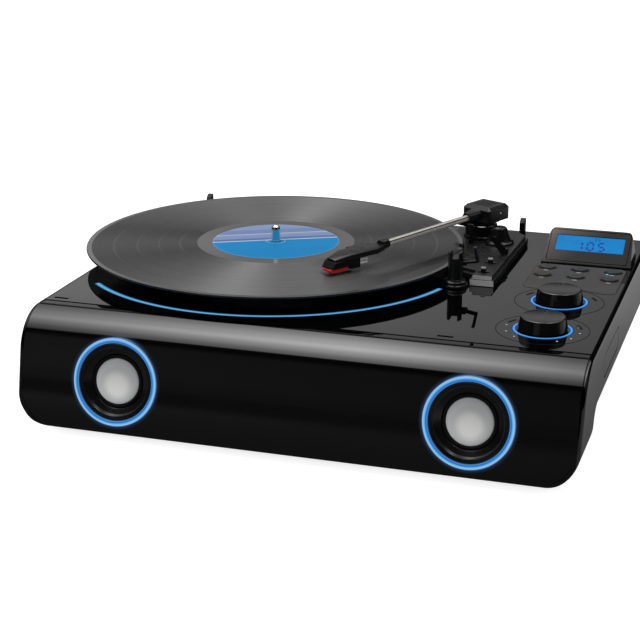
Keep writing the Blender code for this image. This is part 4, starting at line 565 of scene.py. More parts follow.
ARC_SHADES = peaked((0.14, 0.40, 0.64), (0.022, 0.18, 0.40))
KNOB_SHADES = peaked((0.07, 0.40, 0.80), (0.008, 0.14, 0.55))
RING_SHADES = (
    (0.0, (0.006, 0.03, 0.08)), (0.08, (0.05, 0.20, 0.45)), (0.16, (0.045, 0.19, 0.45)),
    (0.27, (0.007, 0.10, 0.42)), (0.36, (0.02, 0.15, 0.47)), (0.52, (0.10, 0.40, 0.73)),
    (0.68, (0.22, 0.49, 0.79)), (0.82, (0.30, 0.50, 0.79)), (0.92, (0.12, 0.24, 0.42)),
    (1.0, (0.025, 0.05, 0.10)))
# Painted glow: the gloss front emits this soft blue halo round each light ring.
HALO_COLOUR = (0.020, 0.040, 0.082)
HALO_SHADES = ((0.0, HALO_COLOUR), (0.35, tuple(c / 3 for c in HALO_COLOUR)), (1.0, 0.0))
HALO_WIDTH = 0.0026
# Painted sheen: a painted reflection in the display's base colour, lightest at its upper left corner.
PAINTED_SHEEN_SHADES = ((0.0, (0.155, 0.14, 0.13)), (0.35, (0.07, 0.062, 0.058)), (1.0, (0.010, 0.009, 0.009)))
PAINTED_SHEEN_ACROSS = 0.050
PAINTED_SHEEN_DOWN = 0.045
# Painted light on the silver domes: a painted highlight round an offset middle, lighter towards the bottom
# and painted shade towards the top.
DOME_PAINTED_HIGHLIGHT_AT = (0.06, -0.16)
DOME_PAINTED_HIGHLIGHT_REACH = 1.2
DOME_PAINTED_SHADES = (
    (0.0, (0.52, 0.52, 0.51)), (0.34, (0.50, 0.50, 0.49)), (0.56, (0.37, 0.375, 0.375)),
    (0.68, (0.345, 0.355, 0.36)), (0.76, (0.37, 0.38, 0.385)), (0.84, (0.36, 0.37, 0.375)),
    (0.96, (0.36, 0.37, 0.375)))
DOME_PAINTED_BOTTOM_LIGHT = 1.40
DOME_PAINTED_TOP_SHADE = 0.58


def front_gloss_painted_glow():
    """The front's gloss black with a painted glow round the two light rings, emitted by the panel itself.
    """
    finish = Finish("gloss_black_front_painted_glow", GLOSS_BLACK, GLOSS_ROUGH)
    finish.vary(GLOSS_SCALE, low=0.02, high=0.04)
    glows = []
    for x in speaker_places():
        apart = finish.vector("DISTANCE", finish.place, CENTRE + speaker_matrix(x).to_translation())
        glows.append(finish.ramp(finish.span(apart, LIGHT_RADIUS, LIGHT_RADIUS + HALO_WIDTH), HALO_SHADES))
    return finish.set(Emission_Color=finish.vector("ADD", *glows, output="Vector"), Emission_Strength=1.0)


def bezel_gloss_painted_sheen():
    """The display's gloss black, with a painted warm sheen, a painted reflection that is lightest at its
    upper left.
    """
    finish = Finish(
        "gloss_black_bezel_painted_sheen", colour=(0.004, 0.0035, 0.003), roughness=0.05, Specular_IOR_Level=0.07)
    finish.vary(GLOSS_SCALE, low=0.04, high=0.07)
    corner = CENTRE + Vector((DISPLAY_LEFT, DISPLAY_FRONT + DISPLAY_RUN, DISPLAY_RISE))
    offset = finish.vector("SUBTRACT", finish.place, corner, output="Vector")
    along = finish.vector("DOT_PRODUCT", offset, (1 / PAINTED_SHEEN_ACROSS, -1 / PAINTED_SHEEN_DOWN, 0.0))
    return finish.set(Base_Color=finish.ramp(along, PAINTED_SHEEN_SHADES))


def dome_silver_painted_light():
    """A spun silver dome with painted light: a painted highlight in the middle, painted light round its
    lower rim and painted shade towards the top.
    """
    finish = Finish("silver_dome_painted_light", colour=0.4, roughness=0.4, Specular_IOR_Level=0.4)
    finish.vary(scale=700, low=0.34, high=0.44)
    painted_highlight_at = (DOME_PAINTED_HIGHLIGHT_AT[0] * DOME_RADIUS, 0.0, DOME_PAINTED_HIGHLIGHT_AT[1] * DOME_RADIUS)
    apart = finish.vector("DISTANCE", finish.place, painted_highlight_at)
    painted_highlight = finish.ramp(finish.math("MULTIPLY", apart, 1 / (DOME_PAINTED_HIGHLIGHT_REACH * DOME_RADIUS)), DOME_PAINTED_SHADES)
    up = finish.span(
        finish.split(finish.place)["Z"], -DOME_RADIUS, DOME_RADIUS, DOME_PAINTED_BOTTOM_LIGHT, DOME_PAINTED_TOP_SHADE)
    return finish.set(Base_Color=finish.add("VectorMath", {0: painted_highlight, "Scale": up}, operation="SCALE"))


# Cabinet and deck

DOOR_FRONT_Y = -0.111
DOOR_BACK_Y = -0.0395
DOOR_TOP_Z = -0.017
DOOR_HEIGHT = 0.0165
DOOR_CORNER = 0.005
DOOR_CLEARANCE = 0.0007
CONNECTOR_LOW, CONNECTOR_HIGH = deck_box("connector_panel")
SERVICE_FROM_LEFT = 0.072
SERVICE_FROM_RIGHT = 0.100
SERVICE_FROM_BACK = 0.060
SERVICE_FROM_BOX = 0.030
ARC_RADIUS = 0.1495
ARC_WIDTH = 0.005
ARC_START = radians(225)
ARC_END = radians(344)
ARC_STEPS = 120
GROOVE_DEPTH = 0.002
ARC_SINK = 0.0004
ARC_EDGE = 0.0005
SLEEVE_HOLE = 0.0072


def face_y(height):
    """Where the tilted front face lies at a height."""
    return FACE_FOOT_Y + (height - FOOT_Z) * TILT_TAN


def nose_arc(skin):
    """The roll of the nose from the deck down to the front face, set in by skin."""
    centre = (face_y(-NOSE_RADIUS) + NOSE_RADIUS / TILT_COS, -NOSE_RADIUS)
    return arc(centre, NOSE_RADIUS - skin, QUARTER, HALF_TURN - FRONT_TILT, NOSE_STEPS)


def side_profile(skin, base):
    """The cabinet from the side, set in by skin on top and in front and by base elsewhere."""
    toe_z = FOOT_Z + TOE_RADIUS
    toe = (face_y(toe_z) + TOE_RADIUS / TILT_COS, toe_z)
    heel = (BOX_REAR - HEEL_RADIUS, FOOT_Z + HEEL_RADIUS)
    sweep = (BOX_REAR + SWEEP_RADIUS, -BODY_HEIGHT - SWEEP_RADIUS)
    down = 3 * QUARTER
    return [
        (BACK - base, -skin), *nose_arc(skin),
        *arc(toe, TOE_RADIUS - skin, HALF_TURN - FRONT_TILT, down, TOE_STEPS, TOE_RADIUS - base),
        *arc(heel, HEEL_RADIUS - base, down, FULL_TURN, SWEEP_STEPS),
        *arc(sweep, SWEEP_RADIUS + base, HALF_TURN, QUARTER, SWEEP_STEPS),
        (BACK - base, -BODY_HEIGHT + base)]


def skin_band(outer, inner, start_y, end_z):
    """The rolled skin of the front between two depths, from the deck to end_z."""
    there, back = (
        [(start_y, -depth), *nose_arc(depth), (face_y(end_z) + depth / TILT_COS, end_z)]
        for depth in (outer, inner))
    return there + back[::-1]


def corner_tools(inset_by):
    """What lies outside the round lower corners of the speaker box."""
    z = FOOT_Z + BOX_CORNER
    start = 3 * QUARTER
    tools = []
    for side, edge in ((-1, LEFT), (1, RIGHT)):
        x = edge - side * BOX_CORNER
        outside = edge + side * OVERRUN
        outline = arc((x, z), BOX_CORNER - inset_by, start, start + side * QUARTER, BOX_CORNER_STEPS)
        outline += [(outside, z), (outside, FOOT_Z - OVERRUN), (x, FOOT_Z - OVERRUN)]
        tools.append(prism(outline, FRONT - BEAD, BOX_REAR + SWEEP_RADIUS, "Y"))
    return tools


def door_outline(grow):
    """The side door's opening, seen from the side."""
    return rounded_rectangle(
        DOOR_FRONT_Y - grow, DOOR_TOP_Z - DOOR_HEIGHT - grow, DOOR_BACK_Y + grow, DOOR_TOP_Z + grow,
        DOOR_CORNER + grow)


def cabinet():
    """The moulded frame with its rounded beads."""
    sections = []
    for side, edge in ((1, LEFT), (-1, RIGHT)):
        rounded = [
            [(edge + side * across, y, z) for y, z in side_profile(depth, depth)]
            for across, depth in quarter_round(BEAD, BEAD_STEPS)]
        sections += rounded[::side]
    shell = carved(loft(sections), corner_tools(0))
    inside = (LEFT + WALL, RIGHT - WALL)
    inner = (inside[0] + LEDGE, inside[1] - LEDGE)
    skin = DECK_THICK + LEDGE_THICK
    lip = FOOT_Z + FRONT_LIP
    hollows = (
        (side_profile(skin, WALL), inside, WALL),
        (skin_band(-OVERRUN, DECK_THICK + GAP, SEAM_Y, lip), inside, WALL),
        (skin_band(DECK_THICK / 2, skin + OVERRUN, SEAM_Y - LEDGE, lip + LEDGE), inner, WALL + LEDGE))
    tools = [carved(prism(outline, *ends, "X"), corner_tools(by)) for outline, ends, by in hollows]
    rear = BACK - WALL
    tools += [
        box((inside[0], SEAM_Y, -DECK_THICK - GAP), (inside[1], rear, OVERRUN)),
        box((inner[0], SEAM_Y + LEDGE, -skin - OVERRUN), (inner[1], rear - LEDGE, 0)),
        box((LEFT + SERVICE_FROM_LEFT, BOX_REAR + SERVICE_FROM_BOX, -BODY_HEIGHT - OVERRUN),
            (RIGHT - SERVICE_FROM_RIGHT, BACK - SERVICE_FROM_BACK, -BODY_HEIGHT + WALL + OVERRUN)),
        prism(door_outline(DOOR_CLEARANCE), inside[1] - OVERRUN, RIGHT + OVERRUN, "X"),
        box((CONNECTOR_LOW.x - GAP, rear - OVERRUN, CONNECTOR_LOW.z - GAP),
            (CONNECTOR_HIGH.x + GAP, BACK + OVERRUN, CONNECTOR_HIGH.z + GAP))]
    piece("cabinet_body", carved(shell, tools), GLOSS, "cabinet_shell")


def deck_plate():
    """The flat gloss deck with its grooves, notches and holes."""
    rear = BACK - WALL
    plate = box((LEFT + WALL + GAP, SEAM_Y + GAP / 2, -DECK_THICK), (RIGHT - WALL - GAP, rear - GAP, 0))
    through = (-2 * DECK_THICK, OVERRUN)
    groove = band(ARC_RADIUS - GAP, ARC_RADIUS + ARC_WIDTH + GAP, ARC_START, ARC_END, ARC_STEPS)
    tools = [
        prism(groove, -GROOVE_DEPTH, OVERRUN), prism(panel_outline(GAP), -PANEL_SINK, OVERRUN),
        rod(0, 0, SLEEVE_HOLE, *through)]
    for _, y in KNOBS:
        tools += [
            hoop(RING_RADIUS - GAP, RING_RADIUS + RING_WIDTH + GAP, -GROOVE_DEPTH, OVERRUN,
                 at=(KNOB_X, y, 0)),
            rod(KNOB_X, y, KNOB_SHAFT_RADIUS + GAP, *through)]
    front = SEAM_Y + NOTCH_FROM_SEAM
    for x in NOTCH_PLACES:
        tools.append(box(
            (x - NOTCH_LENGTH / 2, front, -NOTCH_DEPTH),
            (x + NOTCH_LENGTH / 2, front + NOTCH_WIDTH, OVERRUN)))
    tools += button_holes(*through)
    piece("deck_plate", carved(plate, tools), GLOSS, "top_deck")


def front_face():
    """The gloss panel over the nose and down the front, with two speaker holes."""
    outline = skin_band(0, DECK_THICK, SEAM_Y - GAP / 2, FOOT_Z + FRONT_LIP + GAP)
    outline[0] = (outline[0][0], -SEAM_DROP)
    panel = slab(outline[::-1], LEFT + WALL + GAP, RIGHT - WALL - GAP, PANEL_EDGE, "X")
    holes = [
        moved(hoop(0, LIGHT_RADIUS + GAP, -NOSE_RADIUS, NOSE_RADIUS, axis="Y"), speaker_matrix(x))
        for x in speaker_places()]
    piece("front_skin", carved(carved(panel, corner_tools(WALL + GAP)), holes), front_gloss_painted_glow(),
          "front_panel", smooth=CREASE_ANGLE)


def light_arc():
    """The curved light guide let into the deck."""
    end_gap = GAP / ARC_RADIUS
    outline = band(ARC_RADIUS, ARC_RADIUS + ARC_WIDTH, ARC_START + end_gap, ARC_END - end_gap, ARC_STEPS)
    piece("arc_light_guide", slab(outline, -GROOVE_DEPTH + GAP, -ARC_SINK, ARC_EDGE, both=False),
          lit("arc_light", ARC_SHADES, ARC_RADIUS, ARC_WIDTH), "led_light_arc", own=True)


# Cover hinge lugs

LUGS = (("left", -0.1085), ("right", 0.175))
LUG_WIDTH = 0.0046
LUG_DEPTH = 0.006
LUG_HEIGHT = 0.0122
LUG_SLOPE = 0.003
LUG_FROM_BACK = 0.0034
LUG_EDGE = 0.0005


def cover_hinge_lugs():
    """Two lugs at the rear edge, where a dust cover would hang."""
    back = BACK - LUG_FROM_BACK
    front = back - LUG_DEPTH
    top = GAP + LUG_HEIGHT
    side = [(front, GAP), (back, GAP), (back, top), ((front + back) / 2, top), (front, top - LUG_SLOPE)]
    for name, x in LUGS:
        lug = slab(side, x - LUG_WIDTH / 2, x + LUG_WIDTH / 2, LUG_EDGE, "X")
        piece("cover_lug_" + name, lug, SATIN, "hinge_lug_" + name)


# Record and spindle

RECORD_RADIUS = 0.15075
RECORD_BOTTOM = 0.0120
RECORD_TOP = 0.0135
RECORD_EDGE = 0.0006
RECORD_EDGE_STEPS = 6
RECORD_STEPS = 180
GROOVES_OUTER = 0.1462
GROOVES_INNER = 0.0630
GROOVE_PITCH = 0.00045
GROOVE_RELIEF = 0.000004
WAX_SINK = 0.00012
LABEL_RADIUS = 0.0522
LABEL_THICK = 0.00012
LABEL_STEPS = 90
LABEL_TURN = radians(27)
TRACK_GAPS = (0.0765, 0.0935, 0.1105, 0.1290)
TRACK_GAP = 0.0007
SPINDLE_RADIUS = 0.0036
SPINDLE_TOP = 0.0268
SPINDLE_TIP = 0.0036
SPINDLE_DEPTH = 0.014
SPINDLE_STEPS = 36
TIP_STEPS = 6
VINYL_ROUGH = 0.43
TRACK_GAP_ROUGH = 0.34
VINYL_RIM_ROUGH = 0.10
VINYL_MIDDLE_ROUGH = 0.05
LABEL_STRIPS = (
    (0.0, (0.008, 0.205, 0.475)), (0.30, (0.010, 0.215, 0.49)), (0.52, (0.40, 0.52, 0.62)),
    (0.545, (0.10, 0.16, 0.36)), (0.60, (0.20, 0.27, 0.47)), (0.70, (0.36, 0.44, 0.52)),
    (0.73, (0.16, 0.22, 0.42)), (0.84, (0.22, 0.29, 0.48)))
LABEL_RINGS = ((0.0, 0.0), (0.13, 0.25), (0.15, 0.0), (0.955, 0.12), (0.975, 0.0))
LABEL_RING_COLOUR = (0.70, 0.80, 0.86, 1.0)
PAPER_RELIEF = 0.00001


def vinyl():
    """Record material: fine grooves that spread the light round the record, with smooth gaps."""
    finish = Finish(
        "record_vinyl", colour=0.002, roughness=0.50, Specular_IOR_Level=0.90, Anisotropic=1.0,
        Anisotropic_Rotation=0.25, Coat_Weight=0.28, Coat_Roughness=0.06)
    radius = finish.radius()
    stops = [(0.0, VINYL_MIDDLE_ROUGH), (GROOVES_INNER, VINYL_ROUGH)]
    for at in TRACK_GAPS:
        stops += [(at - TRACK_GAP, TRACK_GAP_ROUGH), (at + TRACK_GAP, VINYL_ROUGH)]
    stops.append((GROOVES_OUTER, VINYL_RIM_ROUGH))
    share = finish.math("DIVIDE", radius, RECORD_RADIUS)
    finish.set(
        Tangent=finish.add("Tangent", direction_type="RADIAL", axis="Z"),
        Roughness=finish.ramp(share, [(at / RECORD_RADIUS, rough) for at, rough in stops], "CONSTANT"))
    wave = finish.math("SINE", finish.math("MULTIPLY", radius, FULL_TURN / GROOVE_PITCH))
    return finish.bump(wave, GROOVE_RELIEF, strength=0.6)


def label_paper():
    """A generic two-tone label with plain strips and rings."""
    finish = Finish("label_paper", colour=(0.20, 0.36, 0.62), roughness=0.6, Specular_IOR_Level=0.08)
    along = finish.vector("DOT_PRODUCT", finish.place, (-sin(LABEL_TURN), cos(LABEL_TURN), 0.0))
    strips = finish.ramp(finish.span(along, -LABEL_RADIUS, LABEL_RADIUS), LABEL_STRIPS, "CONSTANT")
    share = finish.math("MULTIPLY", finish.radius(), 1 / LABEL_RADIUS)
    rings = finish.ramp(share, LABEL_RINGS, "CONSTANT")
    finish.set(Base_Color=finish.add(
        "Mix", {"Factor": rings, "A": strips, "B": LABEL_RING_COLOUR}, "Result", data_type="RGBA"))
    return finish.bump(finish.noise(scale=1500), PAPER_RELIEF)


def record():
    """The record with its raised rim, track gaps and label."""
    half = (RECORD_TOP - RECORD_BOTTOM) / 2
    edge_middle = (RECORD_RADIUS - RECORD_EDGE, (RECORD_TOP + RECORD_BOTTOM) / 2)
    hole = SPINDLE_RADIUS + GAP
    top = RECORD_TOP - WAX_SINK
    sunk = top - WAX_SINK
    profile = [
        (hole, RECORD_BOTTOM), *arc(edge_middle, RECORD_EDGE, -QUARTER, QUARTER, RECORD_EDGE_STEPS, half),
        (GROOVES_OUTER, top)]
    for at in reversed(TRACK_GAPS):
        profile += [
            (at + TRACK_GAP, top), (at + TRACK_GAP / 2, sunk), (at - TRACK_GAP / 2, sunk),
            (at - TRACK_GAP, top)]
    profile += [
        (GROOVES_INNER, top), (GROOVES_INNER - TRACK_GAP, sunk), (LABEL_RADIUS, sunk),
        (LABEL_RADIUS - TRACK_GAP, top), (hole, top)]
    piece("record_disc", turned(profile, RECORD_STEPS), vinyl(), "record", "turntable", own=True)
    edge = LABEL_RADIUS - 2 * TRACK_GAP
    label = turned([
        (hole, top), (edge, top), (edge, top + LABEL_THICK / 2), (edge - LABEL_THICK, top + LABEL_THICK),
        (hole, top + LABEL_THICK)], LABEL_STEPS)
    piece("record_label", label, label_paper(), body="turntable", own=True)


def spindle():
    """The spindle with its domed tip."""
    tip = arc((0, SPINDLE_TOP - SPINDLE_TIP), SPINDLE_RADIUS, 0, QUARTER, TIP_STEPS, SPINDLE_TIP)[:-1]
    profile = [(0, -SPINDLE_DEPTH), (SPINDLE_RADIUS, -SPINDLE_DEPTH), *tip, (0, SPINDLE_TOP)]
    piece("spindle_pin", turned(profile, SPINDLE_STEPS), CHROME, "spindle", "turntable", own=True)


# Controls

CONTROL_X = RIGHT - 0.0416
PANEL_WIDTH = 0.070
PANEL_BACK = 0.047
PANEL_FRONT = -0.021
PANEL_SINK = 0.0008
PANEL_PROUD = 0.0003
PANEL_CORNER = 0.006
PANEL_CORNER_STEPS = 8
PANEL_DIP = 0.006
PANEL_DIP_STEPS = 12
PANEL_BEVEL = 0.0002
BUTTON_SPACING = 0.0258
BUTTON_ROWS = (0.0362, 0.0155)
BUTTON_HALF = (0.00575, 0.0043)
BUTTON_STEPS = 40
BUTTON_TOP = 0.0015
BUTTON_CROWN = 0.0005
BUTTON_DISH = 0.00004
BUTTON_DISH_SHARES = ((0.5, 2.4), (1.0, 5.0))
BUTTON_NAMES = ("play", "stop", "skip_up", "program", "preset", "skip_down")
BUTTON_BODY_DEPTH = -0.0047
RIM_GROW = 0.0014
RIM_HEIGHT = 0.0002
TICK_LENGTH = 0.0034
TICK_WIDTH = 0.0007
TICK_HEIGHT = 0.0001
VOLUME_KNOB_Y = -0.1163
KNOBS = (("function", -0.0484), ("volume", VOLUME_KNOB_Y))
KNOB_X = CONTROL_X - 0.002
KNOB_BASE_RADIUS = 0.0178
KNOB_TOP_RADIUS = 0.0161
KNOB_BOTTOM = 0.0008
KNOB_TOP = 0.0100
KNOB_EDGE = 0.0009
KNOB_EDGE_STEPS = 5
KNOB_DISH = 0.0004
KNOB_DISH_RADIUS = 0.0140
KNOB_SHAFT_RADIUS = 0.003
KNOB_SHAFT_DEPTH = 0.008
POINTER_WIDTH = 0.0014
POINTER_LENGTH = 0.0058
POINTER_FROM_EDGE = 0.0016
RING_RADIUS = 0.019
RING_WIDTH = 0.0022
RING_PROUD = 0.0004
RING_EDGE = 0.0005
OUTLINE_RADIUS = 0.0325
OUTLINE_WIDTH = 0.0005
SLOT_RADIUS = 0.0262
SLOT_WIDTH = 0.0022
SLOT_ANGLES = (radians(28), radians(152))
SLOT_HALF_ANGLE = radians(9)
VOLUME_TICK_RADIUS = 0.0262
VOLUME_TICK_ANGLES = tuple(radians(a) for a in (174, 205, 232, 25, -2, -32, -58))
DOT_RADIUS = 0.0007
INDICATOR_AT = (0.2613, 0.0304)
INDICATOR_RADIUS = 0.0011


def button_places():
    """The middle of each push button, row by row from the rear."""
    return [(CONTROL_X + column * BUTTON_SPACING, row) for row in BUTTON_ROWS for column in (-1, 0, 1)]


def button_oval(x, y, grow):
    """A push button's outline from above."""
    return circle(x, y, BUTTON_HALF[0] + grow, BUTTON_STEPS, BUTTON_HALF[1] + grow)


def button_holes(low, high):
    """Oval holes that the push buttons pass through."""
    return [prism(button_oval(x, y, GAP), low, high) for x, y in button_places()]


def panel_outline(grow):
    """The control panel from above: round corners and a shallow dip at the front."""
    half = PANEL_WIDTH / 2 + grow
    front = PANEL_FRONT - grow
    outline = rounded_rectangle(
        CONTROL_X - half, front, CONTROL_X + half, PANEL_BACK + grow, PANEL_CORNER, PANEL_CORNER_STEPS)
    dip = []
    for i in range(1, PANEL_DIP_STEPS):
        t = 2 * i / PANEL_DIP_STEPS - 1
        sunk = PANEL_DIP * (1 + cos(HALF_TURN * t)) / 2
        dip.append((CONTROL_X + (half - PANEL_CORNER) * t, front + sunk))
    middle = len(outline) * 3 // 4
    return outline[:middle] + dip + outline[middle:]


def raised(outline):
    """Something that stands a little proud of the control panel."""
    return slab(outline, PANEL_PROUD, PANEL_PROUD + RIM_HEIGHT, RIM_HEIGHT / 2, both=False)


def control_panel():
    """The panel with raised rims round the buttons, printed ticks and a small lamp."""
    plate = slab(panel_outline(0), -PANEL_SINK + GAP, PANEL_PROUD, PANEL_BEVEL, both=False)
    piece("control_plate", carved(plate, button_holes(-2 * PANEL_SINK, OVERRUN)), PANEL_SATIN,
          "control_panel")
    rims = []
    ticks = []
    for x, y in button_places():
        hole = prism(button_oval(x, y, GAP), 0, OVERRUN)
        rims.append(carved(raised(button_oval(x, y, GAP + RIM_GROW)), [hole]))
        tick_y = y - BUTTON_HALF[1] - 2 * RIM_GROW - TICK_WIDTH / 2
        ticks.append(block(x, tick_y, TICK_LENGTH, TICK_WIDTH, PANEL_PROUD, PANEL_PROUD + TICK_HEIGHT))
    piece("button_rims", joined(rims), SOFT_BLACK)
    piece("panel_ticks", joined(ticks), PRINT_AND_PAINTED_SHINE)
    piece("panel_lamp", raised(circle(*INDICATOR_AT, INDICATOR_RADIUS)),
          LAMP_CYAN)


def buttons():
    """Six oval buttons with dished tops."""
    crown = BUTTON_TOP - BUTTON_CROWN
    levels = (
        (BUTTON_BODY_DEPTH, 0.0), (crown, 0.0), (BUTTON_TOP - BUTTON_CROWN / 3, -BUTTON_CROWN / 3),
        (BUTTON_TOP, -BUTTON_CROWN),
        *((BUTTON_TOP - BUTTON_DISH * down, -BUTTON_CROWN * across) for down, across in BUTTON_DISH_SHARES))
    for label, (x, y) in zip(BUTTON_NAMES, button_places()):
        name = label + "_button"
        cap = loft([[(*point, z) for point in button_oval(x, y, grow)] for z, grow in levels])
        piece(name + "_cap", cap, BUTTON_BLACK, name, name)


def knobs():
    """The two knobs with their pointers, and the light rings round them."""
    edge_middle = (KNOB_TOP_RADIUS - KNOB_EDGE, KNOB_TOP - KNOB_EDGE)
    profile = [
        (0, -KNOB_SHAFT_DEPTH), (KNOB_SHAFT_RADIUS, -KNOB_SHAFT_DEPTH), (KNOB_SHAFT_RADIUS, KNOB_BOTTOM),
        (KNOB_BASE_RADIUS - KNOB_DISH, KNOB_BOTTOM), (KNOB_BASE_RADIUS, KNOB_BOTTOM + KNOB_DISH),
        *arc(edge_middle, KNOB_EDGE, 0, QUARTER, KNOB_EDGE_STEPS), (KNOB_DISH_RADIUS, KNOB_TOP),
        (KNOB_DISH_RADIUS - KNOB_EDGE, KNOB_TOP - KNOB_DISH / 2), (0, KNOB_TOP - KNOB_DISH)]
    outer = RING_RADIUS + RING_WIDTH
    low = GAP - GROOVE_DEPTH
    rim = RING_PROUD - RING_EDGE / 2
    ring = [
        (RING_RADIUS, low), (outer, low), (outer, rim), (outer - RING_EDGE, RING_PROUD),
        (RING_RADIUS + RING_EDGE, RING_PROUD), (RING_RADIUS, rim)]
    for label, y in KNOBS:
        name = label + "_knob"
        at = Matrix.Translation(CENTRE + Vector((KNOB_X, y, 0)))
        start = KNOB_TOP_RADIUS - POINTER_FROM_EDGE - POINTER_LENGTH
        pointer = box(
            (-POINTER_WIDTH / 2, start, KNOB_TOP - 2 * KNOB_DISH),
            (POINTER_WIDTH / 2, KNOB_BASE_RADIUS, KNOB_TOP + OVERRUN))
        piece(name + "_cap", carved(turned(profile), [pointer]), KNOB_BLACK, name, name,
              at, own=True)
        piece(label + "_ring_light_guide", turned(ring),
              lit(label + "_ring_light", KNOB_SHADES, RING_RADIUS, RING_WIDTH),
              name + "_light_ring", matrix=at, own=True)


def deck_marks():
    """Printed marks beside the volume knob; round both knobs a thin dark line and dark arcs, painted shade
    at a shallow dish's edge and in its slots.
    """
    dots = []
    for turn in VOLUME_TICK_ANGLES:
        x = KNOB_X + VOLUME_TICK_RADIUS * cos(turn)
        y = VOLUME_KNOB_Y + VOLUME_TICK_RADIUS * sin(turn)
        dots.append(rod(x, y, DOT_RADIUS, 0, TICK_HEIGHT, steps=ROUND_STEPS // 2))
    piece("volume_marks", joined(dots), PRINT_AND_PAINTED_SHINE)
    # Painted shade: the dish edge and slots as dark lines, with no dish or slot cut in the deck.
    lines = []
    for _, y in KNOBS:
        lines.append(hoop(
            OUTLINE_RADIUS, OUTLINE_RADIUS + OUTLINE_WIDTH, 0, TICK_HEIGHT, at=(KNOB_X, y, 0)))
        for angle in SLOT_ANGLES:
            mark = band(SLOT_RADIUS, SLOT_RADIUS + SLOT_WIDTH, angle - SLOT_HALF_ANGLE,
                        angle + SLOT_HALF_ANGLE, ROUND_STEPS // 2, (KNOB_X, y))
            lines.append(prism(mark, 0, TICK_HEIGHT))
    piece("knob_dish_painted_shade", joined(lines), SHADE_LINE_BLACK)


# Display

DISPLAY_LEFT = CONTROL_X - 0.0338
DISPLAY_RIGHT = CONTROL_X + 0.037
DISPLAY_FLANK = 0.0028
DISPLAY_FRONT = 0.0505
DISPLAY_LIP = 0.0008
DISPLAY_RUN = 0.0300
DISPLAY_RISE = 0.0202
DISPLAY_REAR = 0.0035
DISPLAY_EDGE = 0.0006
FRAME_HALF = (0.03175, 0.01625)
FRAME_CORNER = 0.0016
FRAME_THICK = 0.0012
FRAME_EDGE = 0.0004
MODULE_SIZE = (0.0537, 0.0158)
MODULE_AT = (0.0004, 0.0032)
MODULE_THICK = 0.003
LCD_SINK = 0.0006
DIGIT_HEIGHT = 0.0098
DIGIT_WIDTH = 0.0062
DIGIT_STROKE = 0.0016
STROKE_END_SHARE = 1.5
DIGIT_SPACING = 0.0088
DIGIT_PROUD = 0.00006
DIGIT_ROWS = (("105", (0.0004, -0.0022), 1.0), ("33", (0.0052, 0.0053), 0.32))
HOUSING_CORNER_RADIUS = 0.0050
HOUSING_CORNER_CUT = 0.04
SEGMENTS = {"0": "abcdef", "1": "bc", "3": "abgcd", "5": "afgcd"}


def segment_outline(name):
    """One stroke of a seven-part digit, from its lower left corner."""
    half = DIGIT_STROKE / 2
    margin = STROKE_END_SHARE * half
    middle = DIGIT_HEIGHT / 2
    level = {"a": DIGIT_HEIGHT - half, "g": middle, "d": half}
    if name in level:
        y = level[name]
        right = DIGIT_WIDTH - margin
        return [
            (margin, y), (margin + half, y - half), (right - half, y - half),
            (right, y), (right - half, y + half), (margin + half, y + half)]
    x = half if name in "ef" else DIGIT_WIDTH - half
    low = middle + half / 2 if name in "bf" else margin
    high = DIGIT_HEIGHT - margin if name in "bf" else middle - half / 2
    return [
        (x, low), (x + half, low + half), (x + half, high - half),
        (x, high), (x - half, high - half), (x - half, low + half)]


def display_matrix():
    """The plane of the tilted display face, with its origin in the middle."""
    middle = (
        (DISPLAY_LEFT + DISPLAY_RIGHT) / 2, DISPLAY_FRONT + DISPLAY_LIP + DISPLAY_RUN / 2,
        GAP + DISPLAY_LIP + DISPLAY_RISE / 2)
    return Matrix.Translation(middle) @ Matrix.Rotation(atan2(DISPLAY_RISE, DISPLAY_RUN), 4, "X")


def window(grow, low, high):
    """The block of the display window, in the plane of the display."""
    return block(*MODULE_AT, *(size + 2 * grow for size in MODULE_SIZE), low, high)


def frame_outline(grow):
    """The outline of the gloss frame round the window."""
    across, up = (half + grow for half in FRAME_HALF)
    return rounded_rectangle(-across, -up, across, up, FRAME_CORNER)


def digit_strokes(shown, middle, share):
    """The strokes of a row of digits on the display, at a share of the full size."""
    width = (DIGIT_SPACING * (len(shown) - 1) + DIGIT_WIDTH) * share
    y = MODULE_AT[1] + middle[1] - DIGIT_HEIGHT * share / 2
    strokes = []
    for i, digit in enumerate(shown):
        x = MODULE_AT[0] + middle[0] - width / 2 + DIGIT_SPACING * share * i
        for name in SEGMENTS[digit]:
            outline = [(x + px * share, y + py * share) for px, py in segment_outline(name)]
            strokes.append(prism(outline, -LCD_SINK, -LCD_SINK + DIGIT_PROUD))
    return strokes


def housing_corners():
    """What lies outside the round upper corners of the display, in its own plane."""
    radius = HOUSING_CORNER_RADIUS
    across = (DISPLAY_RIGHT - DISPLAY_LEFT) / 2 - DISPLAY_FLANK - radius
    top = hypot(DISPLAY_RUN, DISPLAY_RISE) / 2 + DISPLAY_EDGE
    outside = radius + DISPLAY_FLANK * 2
    tools = []
    for side in (-1, 1):
        centre = (side * across, top - radius)
        start = QUARTER if side > 0 else HALF_TURN
        far = side * (across + outside)
        corner = [(far, centre[1]), (far, top + outside), (centre[0], top + outside)]
        outline = arc(centre, radius, start, start - QUARTER, BEAD_STEPS) + corner[::side]
        tools.append(prism(outline, -HOUSING_CORNER_CUT, HOUSING_CORNER_CUT))
    return tools


